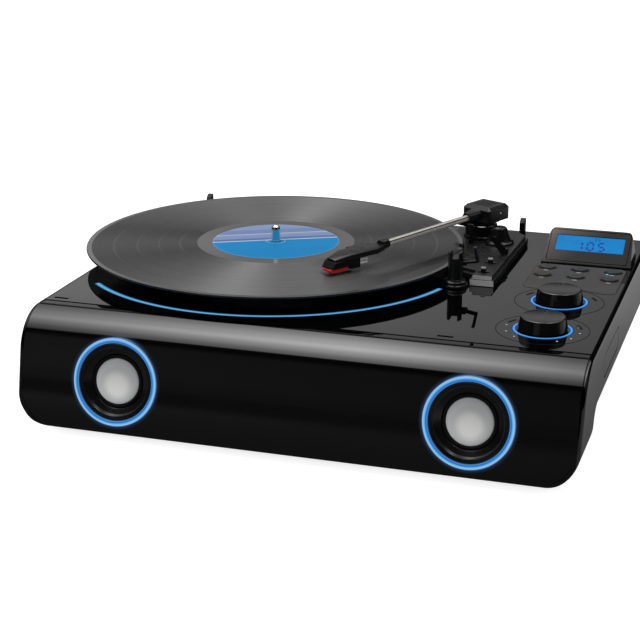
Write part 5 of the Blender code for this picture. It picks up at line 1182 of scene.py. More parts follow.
def display():
    """The tilted display: housing, gloss frame, lit panel and its digits."""
    top = GAP + DISPLAY_LIP + DISPLAY_RISE
    start = DISPLAY_FRONT + DISPLAY_LIP
    end = start + DISPLAY_RUN
    profile = (
        (DISPLAY_FRONT, GAP, 0), (end + DISPLAY_REAR, GAP, 0), (end + DISPLAY_REAR / 4, top, 1),
        (end, top, 1), (start, GAP + DISPLAY_LIP, 0), (DISPLAY_FRONT, GAP + DISPLAY_LIP, 0))
    sections = [
        [(x + side * DISPLAY_FLANK * share, y, z) for y, z, share in profile]
        for x, side in ((DISPLAY_LEFT, 1), (DISPLAY_RIGHT, -1))]
    plane = display_matrix()
    matrix = DECK @ plane
    # Housing and frame share the gloss black with its painted sheen.
    finish = bezel_gloss_painted_sheen()
    recess = FRAME_THICK + GAP
    tools = [
        slab(frame_outline(GAP), -recess, FRAME_THICK, GAP / 3, both=False),
        window(GAP, -recess - MODULE_THICK, -recess / 2), *housing_corners()]
    piece("display_housing", carved(loft(sections), [moved(tool, plane) for tool in tools]), finish,
          "lcd_housing", edge=DISPLAY_EDGE)
    bezel = carved(slab(frame_outline(0), -FRAME_THICK, 0, FRAME_EDGE), [window(GAP, -recess, OVERRUN)])
    piece("display_bezel", bezel, finish, "lcd_frame", matrix=matrix)
    piece("display_panel", window(0, GAP - recess - MODULE_THICK, -LCD_SINK), LCD_BLUE,
          "lcd_module", matrix=matrix)
    strokes = [stroke for row in DIGIT_ROWS for stroke in digit_strokes(*row)]
    piece("display_digits", joined(strokes), LCD_DARK, matrix=matrix)


# Speakers

SPEAKER_Z = -0.0423
SPEAKER_FROM_SIDE = 0.0765
LIGHT_RADIUS = 0.032
LIGHT_WIDTH = 0.0041
LIGHT_PROUD = 0.0008
LIGHT_DEPTH = 0.0061
LIGHT_EDGE = 0.0012
LIGHT_EDGE_STEPS = 5
LIGHT_INNER = LIGHT_RADIUS - LIGHT_WIDTH
BEZEL_LIP = 0.0031
BEZEL_LIP_DEPTH = 0.001
BEZEL_STEP = 0.0012
THROAT_RADIUS = 0.0196
THROAT_TOP = 0.005
THROAT_BOTTOM = 0.009
FLANGE_RADIUS = 0.0315
FLANGE_THICK = 0.002
BASKET_DEPTH = 0.022
MAGNET_RADIUS = 0.017
MAGNET_DEPTH = 0.030
POLE_DEPTH = 0.012
POLE_RADIUS = 0.012
DOME_RADIUS = 0.0166
DOME_HEIGHT = 0.0038
DOME_SINK = 0.0015
DOME_STEPS = 16
SURROUND_RISE = 0.0012
SURROUND_STEPS = 10
CONE_THICK = 0.001


def speaker_places():
    """Where the two speakers are from side to side."""
    return (LEFT + SPEAKER_FROM_SIDE, RIGHT - SPEAKER_FROM_SIDE)


def speaker_matrix(x):
    """The speaker's own frame: its axis runs along +Y into the cabinet."""
    return Matrix.Translation((x, face_y(SPEAKER_Z), SPEAKER_Z)) @ Matrix.Rotation(-FRONT_TILT, 4, "X")


def ring_profile():
    """The round light guide that stands a little proud of the front."""
    edge = LIGHT_EDGE
    level = edge - LIGHT_PROUD
    return [
        (LIGHT_INNER, LIGHT_DEPTH), (LIGHT_RADIUS, LIGHT_DEPTH),
        *arc((LIGHT_RADIUS - edge, level), edge, 0, -QUARTER, LIGHT_EDGE_STEPS),
        *arc((LIGHT_INNER + edge, level), edge, -QUARTER, -HALF_TURN, LIGHT_EDGE_STEPS)]


def bezel_profile():
    """The stepped black bezel with the driver's basket and magnet behind it."""
    bezel = LIGHT_INNER - GAP
    flange = LIGHT_DEPTH + GAP
    lip = bezel - BEZEL_LIP
    third = BEZEL_STEP / 3
    half = BEZEL_STEP / 2
    return [
        (bezel, BEZEL_LIP_DEPTH / 4), (bezel, flange), (FLANGE_RADIUS, flange),
        (FLANGE_RADIUS, flange + FLANGE_THICK),
        ((FLANGE_RADIUS + MAGNET_RADIUS) / 2, flange + FLANGE_THICK),
        (MAGNET_RADIUS, BASKET_DEPTH), (MAGNET_RADIUS, MAGNET_DEPTH), (0, MAGNET_DEPTH),
        (0, POLE_DEPTH), (POLE_RADIUS, POLE_DEPTH), (THROAT_RADIUS, THROAT_BOTTOM),
        (THROAT_RADIUS, THROAT_TOP), (THROAT_RADIUS + half, THROAT_TOP - half),
        (lip - BEZEL_STEP, THROAT_TOP / 2 + half), (lip - third, THROAT_TOP / 2),
        (lip, THROAT_TOP / 2 - third), (lip, BEZEL_LIP_DEPTH),
        (lip + third, BEZEL_LIP_DEPTH / 2), (bezel - third, 0)]


def cone_profile():
    """The silver dome with its soft black surround."""
    dome_edge = DOME_SINK + DOME_HEIGHT
    rim = THROAT_RADIUS - GAP
    middle = ((DOME_RADIUS + rim) / 2, dome_edge)
    back = dome_edge + CONE_THICK
    return [
        (0, DOME_SINK), *arc((0, dome_edge), DOME_RADIUS, -QUARTER, 0, DOME_STEPS, DOME_HEIGHT)[1:],
        *arc(middle, (rim - DOME_RADIUS) / 2, HALF_TURN, 0, SURROUND_STEPS, -SURROUND_RISE)[1:],
        (rim, back), (0, back)]


def on_surround(point, _):
    """Whether a face of the cone lies outside the dome."""
    return hypot(point.x, point.z) > DOME_RADIUS


def speakers():
    """Light ring, bezel and moving dome on each side."""
    for name, x in zip(("left", "right"), speaker_places()):
        matrix = DECK @ speaker_matrix(x)
        piece("speaker_ring_" + name, turned(ring_profile()),
              lit("speaker_ring_light_" + name, RING_SHADES, LIGHT_INNER, LIGHT_WIDTH),
              "speaker_light_ring_" + name, matrix=matrix @ Matrix.Rotation(-QUARTER, 4, "X"), own=True)
        piece("speaker_bezel_" + name, turned(bezel_profile(), axis="Y"), BEZEL_SATIN,
              "speaker_driver_" + name, matrix=matrix)
        # The dome's silver carries painted light and painted shade.
        piece("speaker_dome_" + name, paint(turned(cone_profile(), axis="Y"), on_surround),
              (dome_silver_painted_light(), SOFT_BLACK), "speaker_cone_" + name, name + "_cone", matrix,
              own=True)


# Tonearm base

PIVOT = Vector((0.1495, 0.0844, 0))
ARM_ANGLE = radians(24.35)
BASE_LOWER = 0.005
BASE_HEIGHT = 0.008
BASE_STEP = 0.0018
BASE_FRONT = -0.0295
BASE_BACK = 0.108
BASE_STRIP_LEFT = 0.1655
BASE_RIGHT = 0.184
BASE_FLARE = 0.002
BASE_CUT = 0.009
BASE_LEFT = 0.125
BASE_BEND_SHARES = ((0.0, 0.56), (0.28, 0.37), (0.60, 0.16), (1.0, 0.10))
BASE_EDGE = 0.0005
FACING_FRONT = -0.9
PEDESTAL_RADIUS = 0.013
PEDESTAL_TOP = 0.019
PEDESTAL_FOOT = 0.0012
PEDESTAL_FOOT_HEIGHT = 0.002
PEDESTAL_BAND = 0.0005
PEDESTAL_EDGE = 0.0004
YOKE_RADIUS = 0.012
YOKE_TOP = 0.021
YOKE_SHAFT_RADIUS = 0.0037
YOKE_SHAFT_DEPTH = 0.009
CAP_AT = PIVOT + Vector((0.0185, -0.0164, BASE_HEIGHT + GAP))
CAP_RADIUS = 0.012
CAP_HEIGHT = 0.0135
CAP_SHARES = (
    (0.0, 0.0), (1.0, 0.0), (1.0, 0.08), (0.96, 0.12), (0.88, 0.15), (0.80, 0.24), (0.72, 0.42),
    (0.63, 0.62), (0.56, 0.80), (0.50, 0.90), (0.44, 0.96), (0.3, 1.0), (0.0, 1.0))
SWITCH_X = 0.1735
SWITCHES = (("speed_switch", 0.009), ("auto_stop_switch", -0.017))
SWITCH_LENGTH = 0.0036
SWITCH_DEPTH = 0.003
SWITCH_TOP = 0.0119
SWITCH_SINK = 0.0022
SWITCH_TRAVEL = 0.0026
SWITCH_EDGE = 0.0005
SWITCH_CAP = 0.0012
LEVER_AT = Vector((0.1785, 0.0344, 0.0105))
LEVER_HUB_RADIUS = 0.0021
LEVER_THICK = 0.0028
LEVER_LENGTH = 0.0125
LEVER_TIP_RADIUS = 0.0017
LEVER_LEAN = radians(39)
LEVER_PIN_RADIUS = 0.0011
LEVER_EAR_LENGTH = 0.0064
LEVER_EAR_THICK = 0.002
LEVER_EDGE = 0.0004
LEVER_STEPS = 10
LIFTER_RADIUS = 0.024
LIFTER_WIDTH = 0.003
LIFTER_THICK = 0.0025
LIFTER_TOP = 0.0240
LIFTER_START = radians(2)
LIFTER_END = radians(44)
LIFTER_POST_ANGLE = radians(7)
LIFTER_POST_RADIUS = 0.002
LIFTER_POST_FOOT = 0.0025
LIFTER_EDGE = 0.0005
LIFTER_AT = (
    PIVOT.x - LIFTER_RADIUS * sin(LIFTER_POST_ANGLE), PIVOT.y - LIFTER_RADIUS * cos(LIFTER_POST_ANGLE))


def base_outline(depth):
    """The tonearm base from above; its left side clears the platter."""
    front = BASE_FRONT + depth
    back = BASE_BACK - depth
    flare = BASE_RIGHT + BASE_FLARE - depth
    wide = BASE_STRIP_LEFT - BASE_LEFT
    long = BASE_BACK - BASE_FRONT
    bends = [
        (BASE_LEFT + across * wide + depth, front + along * long) for across, along in BASE_BEND_SHARES]
    return [
        (BASE_STRIP_LEFT + depth, front), (BASE_RIGHT - depth, front), (flare, back - BASE_CUT),
        (flare - BASE_CUT, back), (BASE_LEFT + depth, back), *bends]


def on_front_face(point, normal):
    """Whether a face of the base is one of the two brushed ones at its front end."""
    return normal.y < FACING_FRONT and point.y < BASE_FRONT + 2 * BASE_STEP


def on_band(point, _):
    """Whether a face of the pedestal belongs to its bright band."""
    return (point.z > PEDESTAL_TOP - PEDESTAL_BAND + PEDESTAL_EDGE / 2
            and hypot(point.x - PIVOT.x, point.y - PIVOT.y) > YOKE_RADIUS)


def arm_base():
    """The stepped plate beside the record, with its slots and the lever's ear."""
    front = LEVER_AT.y + LEVER_THICK / 2 + GAP
    back = front + LEVER_EAR_THICK
    half = LEVER_EAR_LENGTH / 2
    ear = box(
        (LEVER_AT.x - half, front, BASE_LOWER), (LEVER_AT.x + half, back, LEVER_AT.z + LEVER_HUB_RADIUS))
    solid = fused(
        prism(base_outline(0), GAP, BASE_LOWER),
        [prism(base_outline(BASE_STEP), BASE_LOWER / 2, BASE_HEIGHT), ear])
    slots = [rod(LEVER_AT.x, LEVER_AT.z, LEVER_PIN_RADIUS + GAP, front - OVERRUN, back + OVERRUN, "Y")]
    for _, y in SWITCHES:
        slots.append(block(
            SWITCH_X, y, SWITCH_LENGTH + 2 * (SWITCH_TRAVEL + GAP), SWITCH_DEPTH + 2 * GAP,
            BASE_HEIGHT - SWITCH_SINK - GAP, BASE_HEIGHT + OVERRUN))
    slots.append(rod(
        *LIFTER_AT, LIFTER_POST_RADIUS + GAP, LIFTER_POST_FOOT - GAP, BASE_HEIGHT + OVERRUN))
    piece("arm_base_plate", paint(carved(solid, slots), on_front_face), (BASE_BLACK, BASE_FACE),
          "tonearm_base", edge=BASE_EDGE)


def pedestal():
    """The round pedestal with a bright band at its top, and the flared cap beside it."""
    foot = BASE_HEIGHT + GAP
    step = foot + PEDESTAL_FOOT_HEIGHT
    bore = YOKE_SHAFT_RADIUS + GAP
    wide = PEDESTAL_RADIUS + PEDESTAL_FOOT
    floor_z = PEDESTAL_TOP - YOKE_SHAFT_DEPTH
    edge = PEDESTAL_EDGE
    narrow = PEDESTAL_RADIUS - edge
    band_z = PEDESTAL_TOP - PEDESTAL_BAND
    body = turned([
        (0, foot), (wide, foot), (wide, step - edge), (wide - edge, step), (PEDESTAL_RADIUS, step),
        (PEDESTAL_RADIUS, band_z), (narrow, band_z), (narrow, PEDESTAL_TOP - edge),
        (narrow - edge, PEDESTAL_TOP), (bore, PEDESTAL_TOP), (bore, floor_z), (0, floor_z)], at=PIVOT)
    piece("pedestal_column", paint(body, on_band), (SATIN, STEEL), "arm_pedestal")
    cap = turned([(CAP_RADIUS * across, CAP_HEIGHT * up) for across, up in CAP_SHARES], at=CAP_AT)
    way = rod(PIVOT.x, PIVOT.y, wide + GAP, 0, 2 * CAP_HEIGHT, steps=FINE_STEPS)
    piece("damper_cap", carved(cap, [way]), SATIN, "cue_damper_cap")


def slide_switches():
    """Two pale slide caps."""
    across = SWITCH_LENGTH / 2
    deep = SWITCH_DEPTH / 2
    cap_z = SWITCH_TOP - SWITCH_CAP
    for name, y in SWITCHES:
        outline = rounded_rectangle(SWITCH_X - across, y - deep, SWITCH_X + across, y + deep, SWITCH_EDGE)
        cap = joined([
            slab(outline, BASE_HEIGHT - SWITCH_SINK, cap_z - GAP / 3, SWITCH_EDGE / 2),
            slab(outline, cap_z, SWITCH_TOP, SWITCH_EDGE / 2)])
        paint(cap, lambda point, normal: point.z < cap_z)
        piece(name + "_cap", cap, (PALE, SATIN), name, name)


def cueing():
    """The curved bar that raises the arm, and the lever that works it."""
    half = LIFTER_WIDTH / 2
    outline = band(LIFTER_RADIUS - half, LIFTER_RADIUS + half, -QUARTER - LIFTER_END,
                   -QUARTER - LIFTER_START, ROUND_STEPS, PIVOT)
    bar = slab(outline, LIFTER_TOP - LIFTER_THICK, LIFTER_TOP, LIFTER_EDGE)
    post = rod(*LIFTER_AT, LIFTER_POST_RADIUS, LIFTER_POST_FOOT, LIFTER_TOP - LIFTER_THICK / 2)
    piece("lifter_bar", fused(bar, [post]), SATIN, "cue_lifter", "cue_lifter")
    half = LEVER_THICK / 2
    tip = (-LEVER_LENGTH * sin(LEVER_LEAN), LEVER_LENGTH * cos(LEVER_LEAN))
    left = atan2(tip[1], tip[0]) + QUARTER
    right = left - HALF_TURN
    outline = arc((0, 0), LEVER_HUB_RADIUS, left, left + HALF_TURN, LEVER_STEPS)
    outline += arc(tip, LEVER_TIP_RADIUS, right, left, LEVER_STEPS)
    pin = rod(0, 0, LEVER_PIN_RADIUS, 0, half + GAP + LEVER_EAR_THICK, "Y")
    piece("lever_arm", fused(slab(outline[::-1], -half, half, LEVER_EDGE, "Y"), [pin]), SATIN,
          "cue_lever", "cue_lever", DECK @ Matrix.Translation(LEVER_AT))


# Tonearm

EAR_LENGTH = 0.006
EAR_THICK = 0.002
EAR_FROM_MIDDLE = 0.0092
EAR_TOP_MARGIN = 0.0025
PIN_BACK = 0.0076
PIN_HEIGHT = 0.0280
PIN_RADIUS = 0.0011
PIN_CLEARANCE = 0.0003
HOUSING_WIDTH = 0.028
HOUSING_FRONT = 0.0157
HOUSING_REAR = 0.0119
HOUSING_BELOW_PIN = 0.0060
HOUSING_SHOULDER = 0.0040
HOUSING_ABOVE_PIN = 0.0065
HOUSING_WALL = 0.0023
HOUSING_CORNER = 0.0020
HOUSING_REAR_CORNER = 0.0016
HOUSING_CROWN = 0.0025
HOUSING_EDGE = 0.0004
RIB_COUNT = 8
RIB_GROOVE = 0.0007
RIB_DEPTH = 0.0005
RIB_SPAN_SHARE = 0.70
RIB_WIDTH_SHARE = 0.62
COLLAR_RADIUS = 0.0040
COLLAR_LENGTH = 0.0128
NECK_WIDTH = 0.0130
NECK_CUT = 0.0020
TUBE_ABOVE_PIN = -0.0009
TUBE_RADIUS = 0.0026
TUBE_STEPS = 64
TUBE_END = 0.1346
# Where the painted reflection bands lie round the tube, by how far a face's normal leans towards this
# direction.
TUBE_LIGHT_UP = (-0.443, 0, 0.897)
TUBE_LIGHT_BANDS = ((0.08, 1.1), (-0.92, -0.24))
TUBE_SOCKET = 0.006
TUBE_COLLAR_START = 0.1288
TUBE_COLLAR_LENGTH = 0.0026
TUBE_COLLAR_GROW = 0.0009
SHELL_OFFSET_ANGLE = radians(7.5)
SHELL_COLLAR_LENGTH = 0.0027
SHELL_CAP = 0.0026
SHELL_WIDTH = 0.0165
SHELL_TIP_WIDTH = 0.0090
SHELL_LENGTH = 0.0525
SHELL_SHOULDER = 0.012
SHELL_SLOPE_START = 0.038
SHELL_TOP = 0.0012
SHELL_BOTTOM = -0.0032
SHELL_TIP_TOP = -0.0016
SHELL_EDGE = 0.0005
LIFT_START = 0.012
LIFT_LENGTH = 0.014
LIFT_WIDTH = 0.0045
LIFT_THICK = 0.0012
SCREW_RADIUS = 0.0013
SCREW_PLACES = (0.0215, 0.0325)
SCREW_SINK = 0.0003
CARTRIDGE_START = 0.028
CARTRIDGE_END = 0.0558
CARTRIDGE_WIDTH = 0.0130
CARTRIDGE_LOW = -0.0112
CARTRIDGE_EDGE = 0.0005
PLUG_PIN_RADIUS = 0.0009
PLUG_PIN_LENGTH = 0.0085
PLUG_PIN_ACROSS = 0.0040
PLUG_PIN_HEIGHTS = (-0.0062, -0.0088)
STYLUS_TOP = -0.0086
STYLUS_LOW = -0.0118
STYLUS_START = 0.038
STYLUS_SLANT = 0.0035
STYLUS_END = 0.0560
STYLUS_WIDTH = 0.0100
STYLUS_AT = 0.0530
STYLUS_TIP_RADIUS = 0.0004
STYLUS_NECK_RADIUS = 0.0011
STYLUS_EDGE = 0.0004
SWING = DECK @ Matrix.Translation(PIVOT) @ Matrix.Rotation(-ARM_ANGLE, 4, "Z")
LIFT = SWING @ Matrix.Translation((0, PIN_BACK, PIN_HEIGHT))
SHELL_TURN = Matrix.Rotation(SHELL_OFFSET_ANGLE, 4, "Z")
SHELL = LIFT @ Matrix.Translation((0, -TUBE_END, TUBE_ABOVE_PIN)) @ SHELL_TURN.inverted()


def arm_yoke():
    """The turning plate with its two ears, and the pin that the arm tips on."""
    low = PEDESTAL_TOP + GAP
    shaft_low = low - YOKE_SHAFT_DEPTH
    plate = turned([
        (0, shaft_low), (YOKE_SHAFT_RADIUS, shaft_low), (YOKE_SHAFT_RADIUS, low), (YOKE_RADIUS, low),
        (YOKE_RADIUS, YOKE_TOP), (0, YOKE_TOP)])
    ears = [
        block(side * EAR_FROM_MIDDLE, PIN_BACK, EAR_THICK, EAR_LENGTH, (YOKE_TOP + PEDESTAL_TOP) / 2,
              PIN_HEIGHT + EAR_TOP_MARGIN) for side in (-1, 1)]
    bore = rod(PIN_BACK, PIN_HEIGHT, PIN_RADIUS + PIN_CLEARANCE, -HOUSING_WIDTH, HOUSING_WIDTH, "X")
    piece("yoke_plate", carved(fused(plate, ears), [bore]), SATIN, "arm_yoke",
          "arm_turret", SWING)
    half = HOUSING_WIDTH / 2 - GAP
    pin = slab(circle(PIN_BACK, PIN_HEIGHT, PIN_RADIUS), -half, half, PIN_CLEARANCE, "X")
    piece("yoke_pin", pin, CHROME, "arm_pivot_pin", "arm_turret", SWING)


def chamfered(half, low, high, low_cut, high_cut):
    """A rectangle with cut corners, from its lower left."""
    return [
        (low_cut - half, low), (half - low_cut, low), (half, low + low_cut), (half, high - high_cut),
        (half - high_cut, high), (high_cut - half, high), (-half, high - high_cut), (-half, low + low_cut)]


def housing_outline(depth):
    """The arm's housing from above, with cut corners."""
    return chamfered(
        HOUSING_WIDTH / 2 - depth, depth - HOUSING_FRONT, HOUSING_REAR - depth,
        HOUSING_CORNER - depth / 2, HOUSING_REAR_CORNER - depth / 2)


def neck(collar_front):
    """The faceted neck between housing and collar."""
    radius = COLLAR_RADIUS
    front = chamfered(radius, TUBE_ABOVE_PIN - radius, TUBE_ABOVE_PIN + radius, radius / 2, radius / 2)
    root = chamfered(
        NECK_WIDTH / 2, NECK_CUT - HOUSING_BELOW_PIN, HOUSING_SHOULDER, NECK_CUT, NECK_CUT)
    ends = ((front, collar_front), (root, HOUSING_WALL / 2 - HOUSING_FRONT))
    return loft([
        [place(point, y, "Y") for point in outline[-1:] + outline[:-1]] for outline, y in ends])


def rib_grooves():
    """Shallow grooves across the top of the housing."""
    top = HOUSING_ABOVE_PIN
    length = (HOUSING_FRONT + HOUSING_REAR - 2 * HOUSING_CROWN) * RIB_SPAN_SHARE
    half = (HOUSING_WIDTH / 2 - HOUSING_CROWN) * RIB_WIDTH_SHARE
    return [
        block(2 * half * i / (RIB_COUNT - 1) - half, (HOUSING_REAR - HOUSING_FRONT) / 2, RIB_GROOVE,
              length, top - RIB_DEPTH, top + OVERRUN) for i in range(RIB_COUNT)]


def arm_housing():
    """The chamfered housing with its ribbed top and faceted neck."""
    low = -HOUSING_BELOW_PIN
    collar_front = -HOUSING_FRONT - COLLAR_LENGTH
    levels = ((low, 0), (HOUSING_SHOULDER, 0), (HOUSING_ABOVE_PIN, HOUSING_CROWN))
    shell = loft([[(*point, z) for point in housing_outline(depth)] for z, depth in levels])
    tools = [
        prism(housing_outline(HOUSING_WALL), low - OVERRUN, HOUSING_SHOULDER),
        rod(0, TUBE_ABOVE_PIN, TUBE_RADIUS + GAP, collar_front - OVERRUN,
            collar_front + TUBE_SOCKET + GAP, "Y", TUBE_STEPS),
        rod(0, 0, PIN_RADIUS + PIN_CLEARANCE, -HOUSING_WIDTH, HOUSING_WIDTH, "X")]
    solid = carved(fused(shell, [neck(collar_front)]), tools)
    piece("housing_shell", carved(solid, rib_grooves()), HOUSING_SATIN, "arm_housing",
          "arm", LIFT, edge=HOUSING_EDGE)


def on_painted_reflection_band(_, normal):
    """Whether a face of the tube carries one of its painted reflections, pale bands in place of the light
    it would mirror.
    """
    level = normal.dot(Vector(TUBE_LIGHT_UP))
    return any(low < level < high for low, high in TUBE_LIGHT_BANDS)


def arm_tube():
    """The chromed tube with two painted reflection bands, and its black collar."""
    tube = rod(0, TUBE_ABOVE_PIN, TUBE_RADIUS, -TUBE_END, TUBE_SOCKET - HOUSING_FRONT - COLLAR_LENGTH,
               "Y", TUBE_STEPS)
    piece("chrome_tube", paint(tube, on_painted_reflection_band), (TUBE_CHROME, TUBE_PAINTED_REFLECTION), "arm_tube",
          "arm", LIFT)
    inner = TUBE_RADIUS + GAP / 3
    outer = TUBE_RADIUS + TUBE_COLLAR_GROW
    back = -TUBE_COLLAR_START
    front = back - TUBE_COLLAR_LENGTH
    collar = turned([
        (inner, front), (outer - GAP, front), (outer, front + GAP), (outer, back - GAP),
        (outer - GAP, back), (inner, back)], TUBE_STEPS, "Y", (0, 0, TUBE_ABOVE_PIN))
    piece("tube_collars", collar, SATIN, body="arm", matrix=LIFT)


def headshell():
    """The headshell with its finger lift, screws and collar."""
    half = SHELL_WIDTH / 2
    cut = SHELL_EDGE * 3
    plan = (
        (SHELL_CAP / 2, COLLAR_RADIUS, SHELL_TOP), (SHELL_SHOULDER, half, SHELL_TOP),
        (SHELL_SLOPE_START, half, SHELL_TOP), (SHELL_LENGTH, SHELL_TIP_WIDTH / 2, SHELL_TIP_TOP))
    sections = []
    for along, wide, top in plan:
        outline = (
            (-wide, SHELL_BOTTOM), (wide, SHELL_BOTTOM), (wide, top - cut / 2), (wide - cut, top),
            (cut - wide, top), (-wide, top - cut / 2))
        sections.append([place(point, -along, "Y") for point in outline])
    bore = TUBE_RADIUS + GAP
    rim = COLLAR_RADIUS - SHELL_EDGE
    end = SHELL_COLLAR_LENGTH
    collar = moved(turned([
        (0, -SHELL_CAP), (rim, -SHELL_CAP), (COLLAR_RADIUS, SHELL_EDGE - SHELL_CAP),
        (COLLAR_RADIUS, end - SHELL_EDGE), (rim, end), (bore, end), (bore, -GAP), (0, -GAP)],
        TUBE_STEPS, "Y"), SHELL_TURN)
    wing_end = -LIFT_START - LIFT_LENGTH
    root = LIFT_THICK - half
    far = -half - LIFT_WIDTH
    wing = prism(
        [(root, -LIFT_START), (root, wing_end), (far, wing_end), (far, -LIFT_START - LIFT_LENGTH / 3)],
        SHELL_TOP - 2 * LIFT_THICK, SHELL_TOP - LIFT_THICK)
    piece("headshell_body", fused(loft(sections), [collar, wing]), HOUSING_SATIN,
          "headshell", "arm", SHELL, edge=SHELL_EDGE / 2)
    low = SHELL_TOP - SCREW_SINK
    high = SHELL_TOP + SCREW_SINK
    screw = [
        (0, low), (SCREW_RADIUS, low), (SCREW_RADIUS, SHELL_TOP), (SCREW_RADIUS - SCREW_SINK, high),
        (0, high)]
    screws = [turned(screw, ROUND_STEPS, at=(0, -along, 0)) for along in SCREW_PLACES]
    piece("headshell_screws", joined(screws), SATIN, body="arm", matrix=SHELL)


def cartridge():
    """The cartridge with its plug pins, and the red stylus with its needle."""
    top = SHELL_BOTTOM - GAP
    half = CARTRIDGE_WIDTH / 2
    step = GAP - STYLUS_START
    side = [
        (-CARTRIDGE_START, top), (-CARTRIDGE_START, CARTRIDGE_LOW), (step, CARTRIDGE_LOW),
        (step, STYLUS_TOP), (-CARTRIDGE_END, STYLUS_TOP), (-SHELL_LENGTH, top)]
    piece("cartridge_body", prism(side, -half, half, "X"), SATIN, "cartridge", "arm", SHELL,
          edge=CARTRIDGE_EDGE)
    pins = [
        rod(x, z, PLUG_PIN_RADIUS, GAP - CARTRIDGE_START, PLUG_PIN_LENGTH - CARTRIDGE_START, "Y",
            ROUND_STEPS // 2)
        for x in (-PLUG_PIN_ACROSS, PLUG_PIN_ACROSS) for z in PLUG_PIN_HEIGHTS]
    # The plug pins are chrome; their white is a painted shine in place of their reflections.
    piece("cartridge_pins", joined(pins), PRINT_AND_PAINTED_SHINE, body="arm", matrix=SHELL)
    top = STYLUS_TOP - GAP
    half = STYLUS_WIDTH / 2
    side = [
        (-STYLUS_START, top), (-STYLUS_START - STYLUS_SLANT, STYLUS_LOW),
        (-STYLUS_AT - STYLUS_NECK_RADIUS, STYLUS_LOW), (-STYLUS_END, (top + STYLUS_LOW) / 2),
        (-STYLUS_END, top)]
    piece("stylus_body", prism(side, -half, half, "X"), RED, "stylus", "arm", SHELL,
          edge=STYLUS_EDGE)
    tip_low = RECORD_TOP + GAP - PIN_HEIGHT - TUBE_ABOVE_PIN
    needle = turned(
        [(0, tip_low), (STYLUS_TIP_RADIUS, tip_low), (STYLUS_NECK_RADIUS, STYLUS_LOW), (0, STYLUS_LOW)],
        ROUND_STEPS // 2, at=(0, -STYLUS_AT, 0))
    piece("needle", needle, STEEL, body="arm", matrix=SHELL)


# Arm rest

REST_AT = Vector((0.1552, -0.033, 0))
REST_FLANGE_RADIUS = 0.0098
REST_FLANGE_THICK = 0.0048
REST_FLANGE_STEP = 0.0012
REST_RADIUS = 0.0057
REST_TOP = 0.027
REST_EDGE = 0.0005
REST_NOTCH_WIDTH = 0.0066
REST_NOTCH_DEPTH = 0.0045
CLIP_HEIGHT = 0.0193
CLIP_FROM_POST = 0.0022
CLIP_HUB_RADIUS = 0.0015
CLIP_WIDTH = 0.0050
CLIP_ARM = 0.0092
CLIP_REACH = 0.0110
CLIP_THICK = 0.0018
CLIP_LIP = 0.0016
CLIP_PIN_RADIUS = 0.0008
CLIP_EAR_THICK = 0.0018
CLIP_EAR_ROOT = 0.0035
CLIP_OPEN = radians(80)
CLIP_EDGE = 0.0003
HUB_X = REST_RADIUS + CLIP_FROM_POST
EAR_INNER = CLIP_WIDTH / 2 + GAP
EAR_OUTER = EAR_INNER + CLIP_EAR_THICK


def arm_rest():
    """The forked post on its flange, with ears for the clip."""
    outer = REST_FLANGE_RADIUS
    inner = outer - REST_FLANGE_STEP
    top = REST_FLANGE_THICK
    edge = REST_EDGE
    post = turned([
        (0, GAP), (outer, GAP), (outer, top / 2 - edge), (outer - edge, top / 2), (inner, top / 2),
        (inner, top - edge), (inner - edge, top), (REST_RADIUS + edge, top + edge),
        (REST_RADIUS, top + REST_FLANGE_STEP), (REST_RADIUS, REST_TOP - edge),
        (REST_RADIUS - edge, REST_TOP), (0, REST_TOP)])
    notch = block(0, 0, REST_NOTCH_WIDTH, 2 * outer, REST_TOP - REST_NOTCH_DEPTH, REST_TOP + OVERRUN)
    ears = []
    bores = []
    for low, high in ((-EAR_OUTER, -EAR_INNER), (EAR_INNER, EAR_OUTER)):
        ears.append(box(
            (REST_RADIUS - CLIP_EAR_ROOT, low, CLIP_HEIGHT - CLIP_HUB_RADIUS),
            (HUB_X + CLIP_HUB_RADIUS, high, CLIP_HEIGHT + CLIP_HUB_RADIUS)))
        bores.append(rod(HUB_X, CLIP_HEIGHT, CLIP_PIN_RADIUS + GAP, low - OVERRUN, high + OVERRUN, "Y"))
    piece("rest_post", carved(fused(carved(post, [notch]), ears), bores), HOUSING_SATIN,
          "arm_rest", matrix=DECK @ Matrix.Translation(REST_AT))


def rest_clip():
    """The hook that locks the arm in its rest, standing open."""
    thick = CLIP_THICK / 2
    half = CLIP_WIDTH / 2
    outline = [
        (-thick, -thick), (thick, -thick), (thick, CLIP_ARM + thick), (-CLIP_REACH, CLIP_ARM + thick),
        (-CLIP_REACH, CLIP_ARM - CLIP_LIP), (CLIP_THICK - CLIP_REACH, CLIP_ARM - thick),
        (-thick, CLIP_ARM - thick)]
    hook = fused(slab(outline, -half, half, CLIP_EDGE, "Y"), [
        rod(0, 0, CLIP_HUB_RADIUS, -half, half, "Y"),
        rod(0, 0, CLIP_PIN_RADIUS, -EAR_OUTER, EAR_OUTER, "Y")])
    matrix = (
        DECK @ Matrix.Translation(REST_AT + Vector((HUB_X, 0, CLIP_HEIGHT)))
        @ Matrix.Rotation(CLIP_OPEN, 4, "Y"))
    piece("clip_hook", hook, SATIN, "arm_rest_clip", "rest_clip", matrix)


# Side door

DOOR_THICK = 0.0024
DOOR_AXIS_INSET = 0.0018
DOOR_FLANGE = 0.0026
DOOR_STUB_RADIUS = 0.0011
DOOR_STUB_LENGTH = 0.0030
DOOR_EDGE = 0.0004


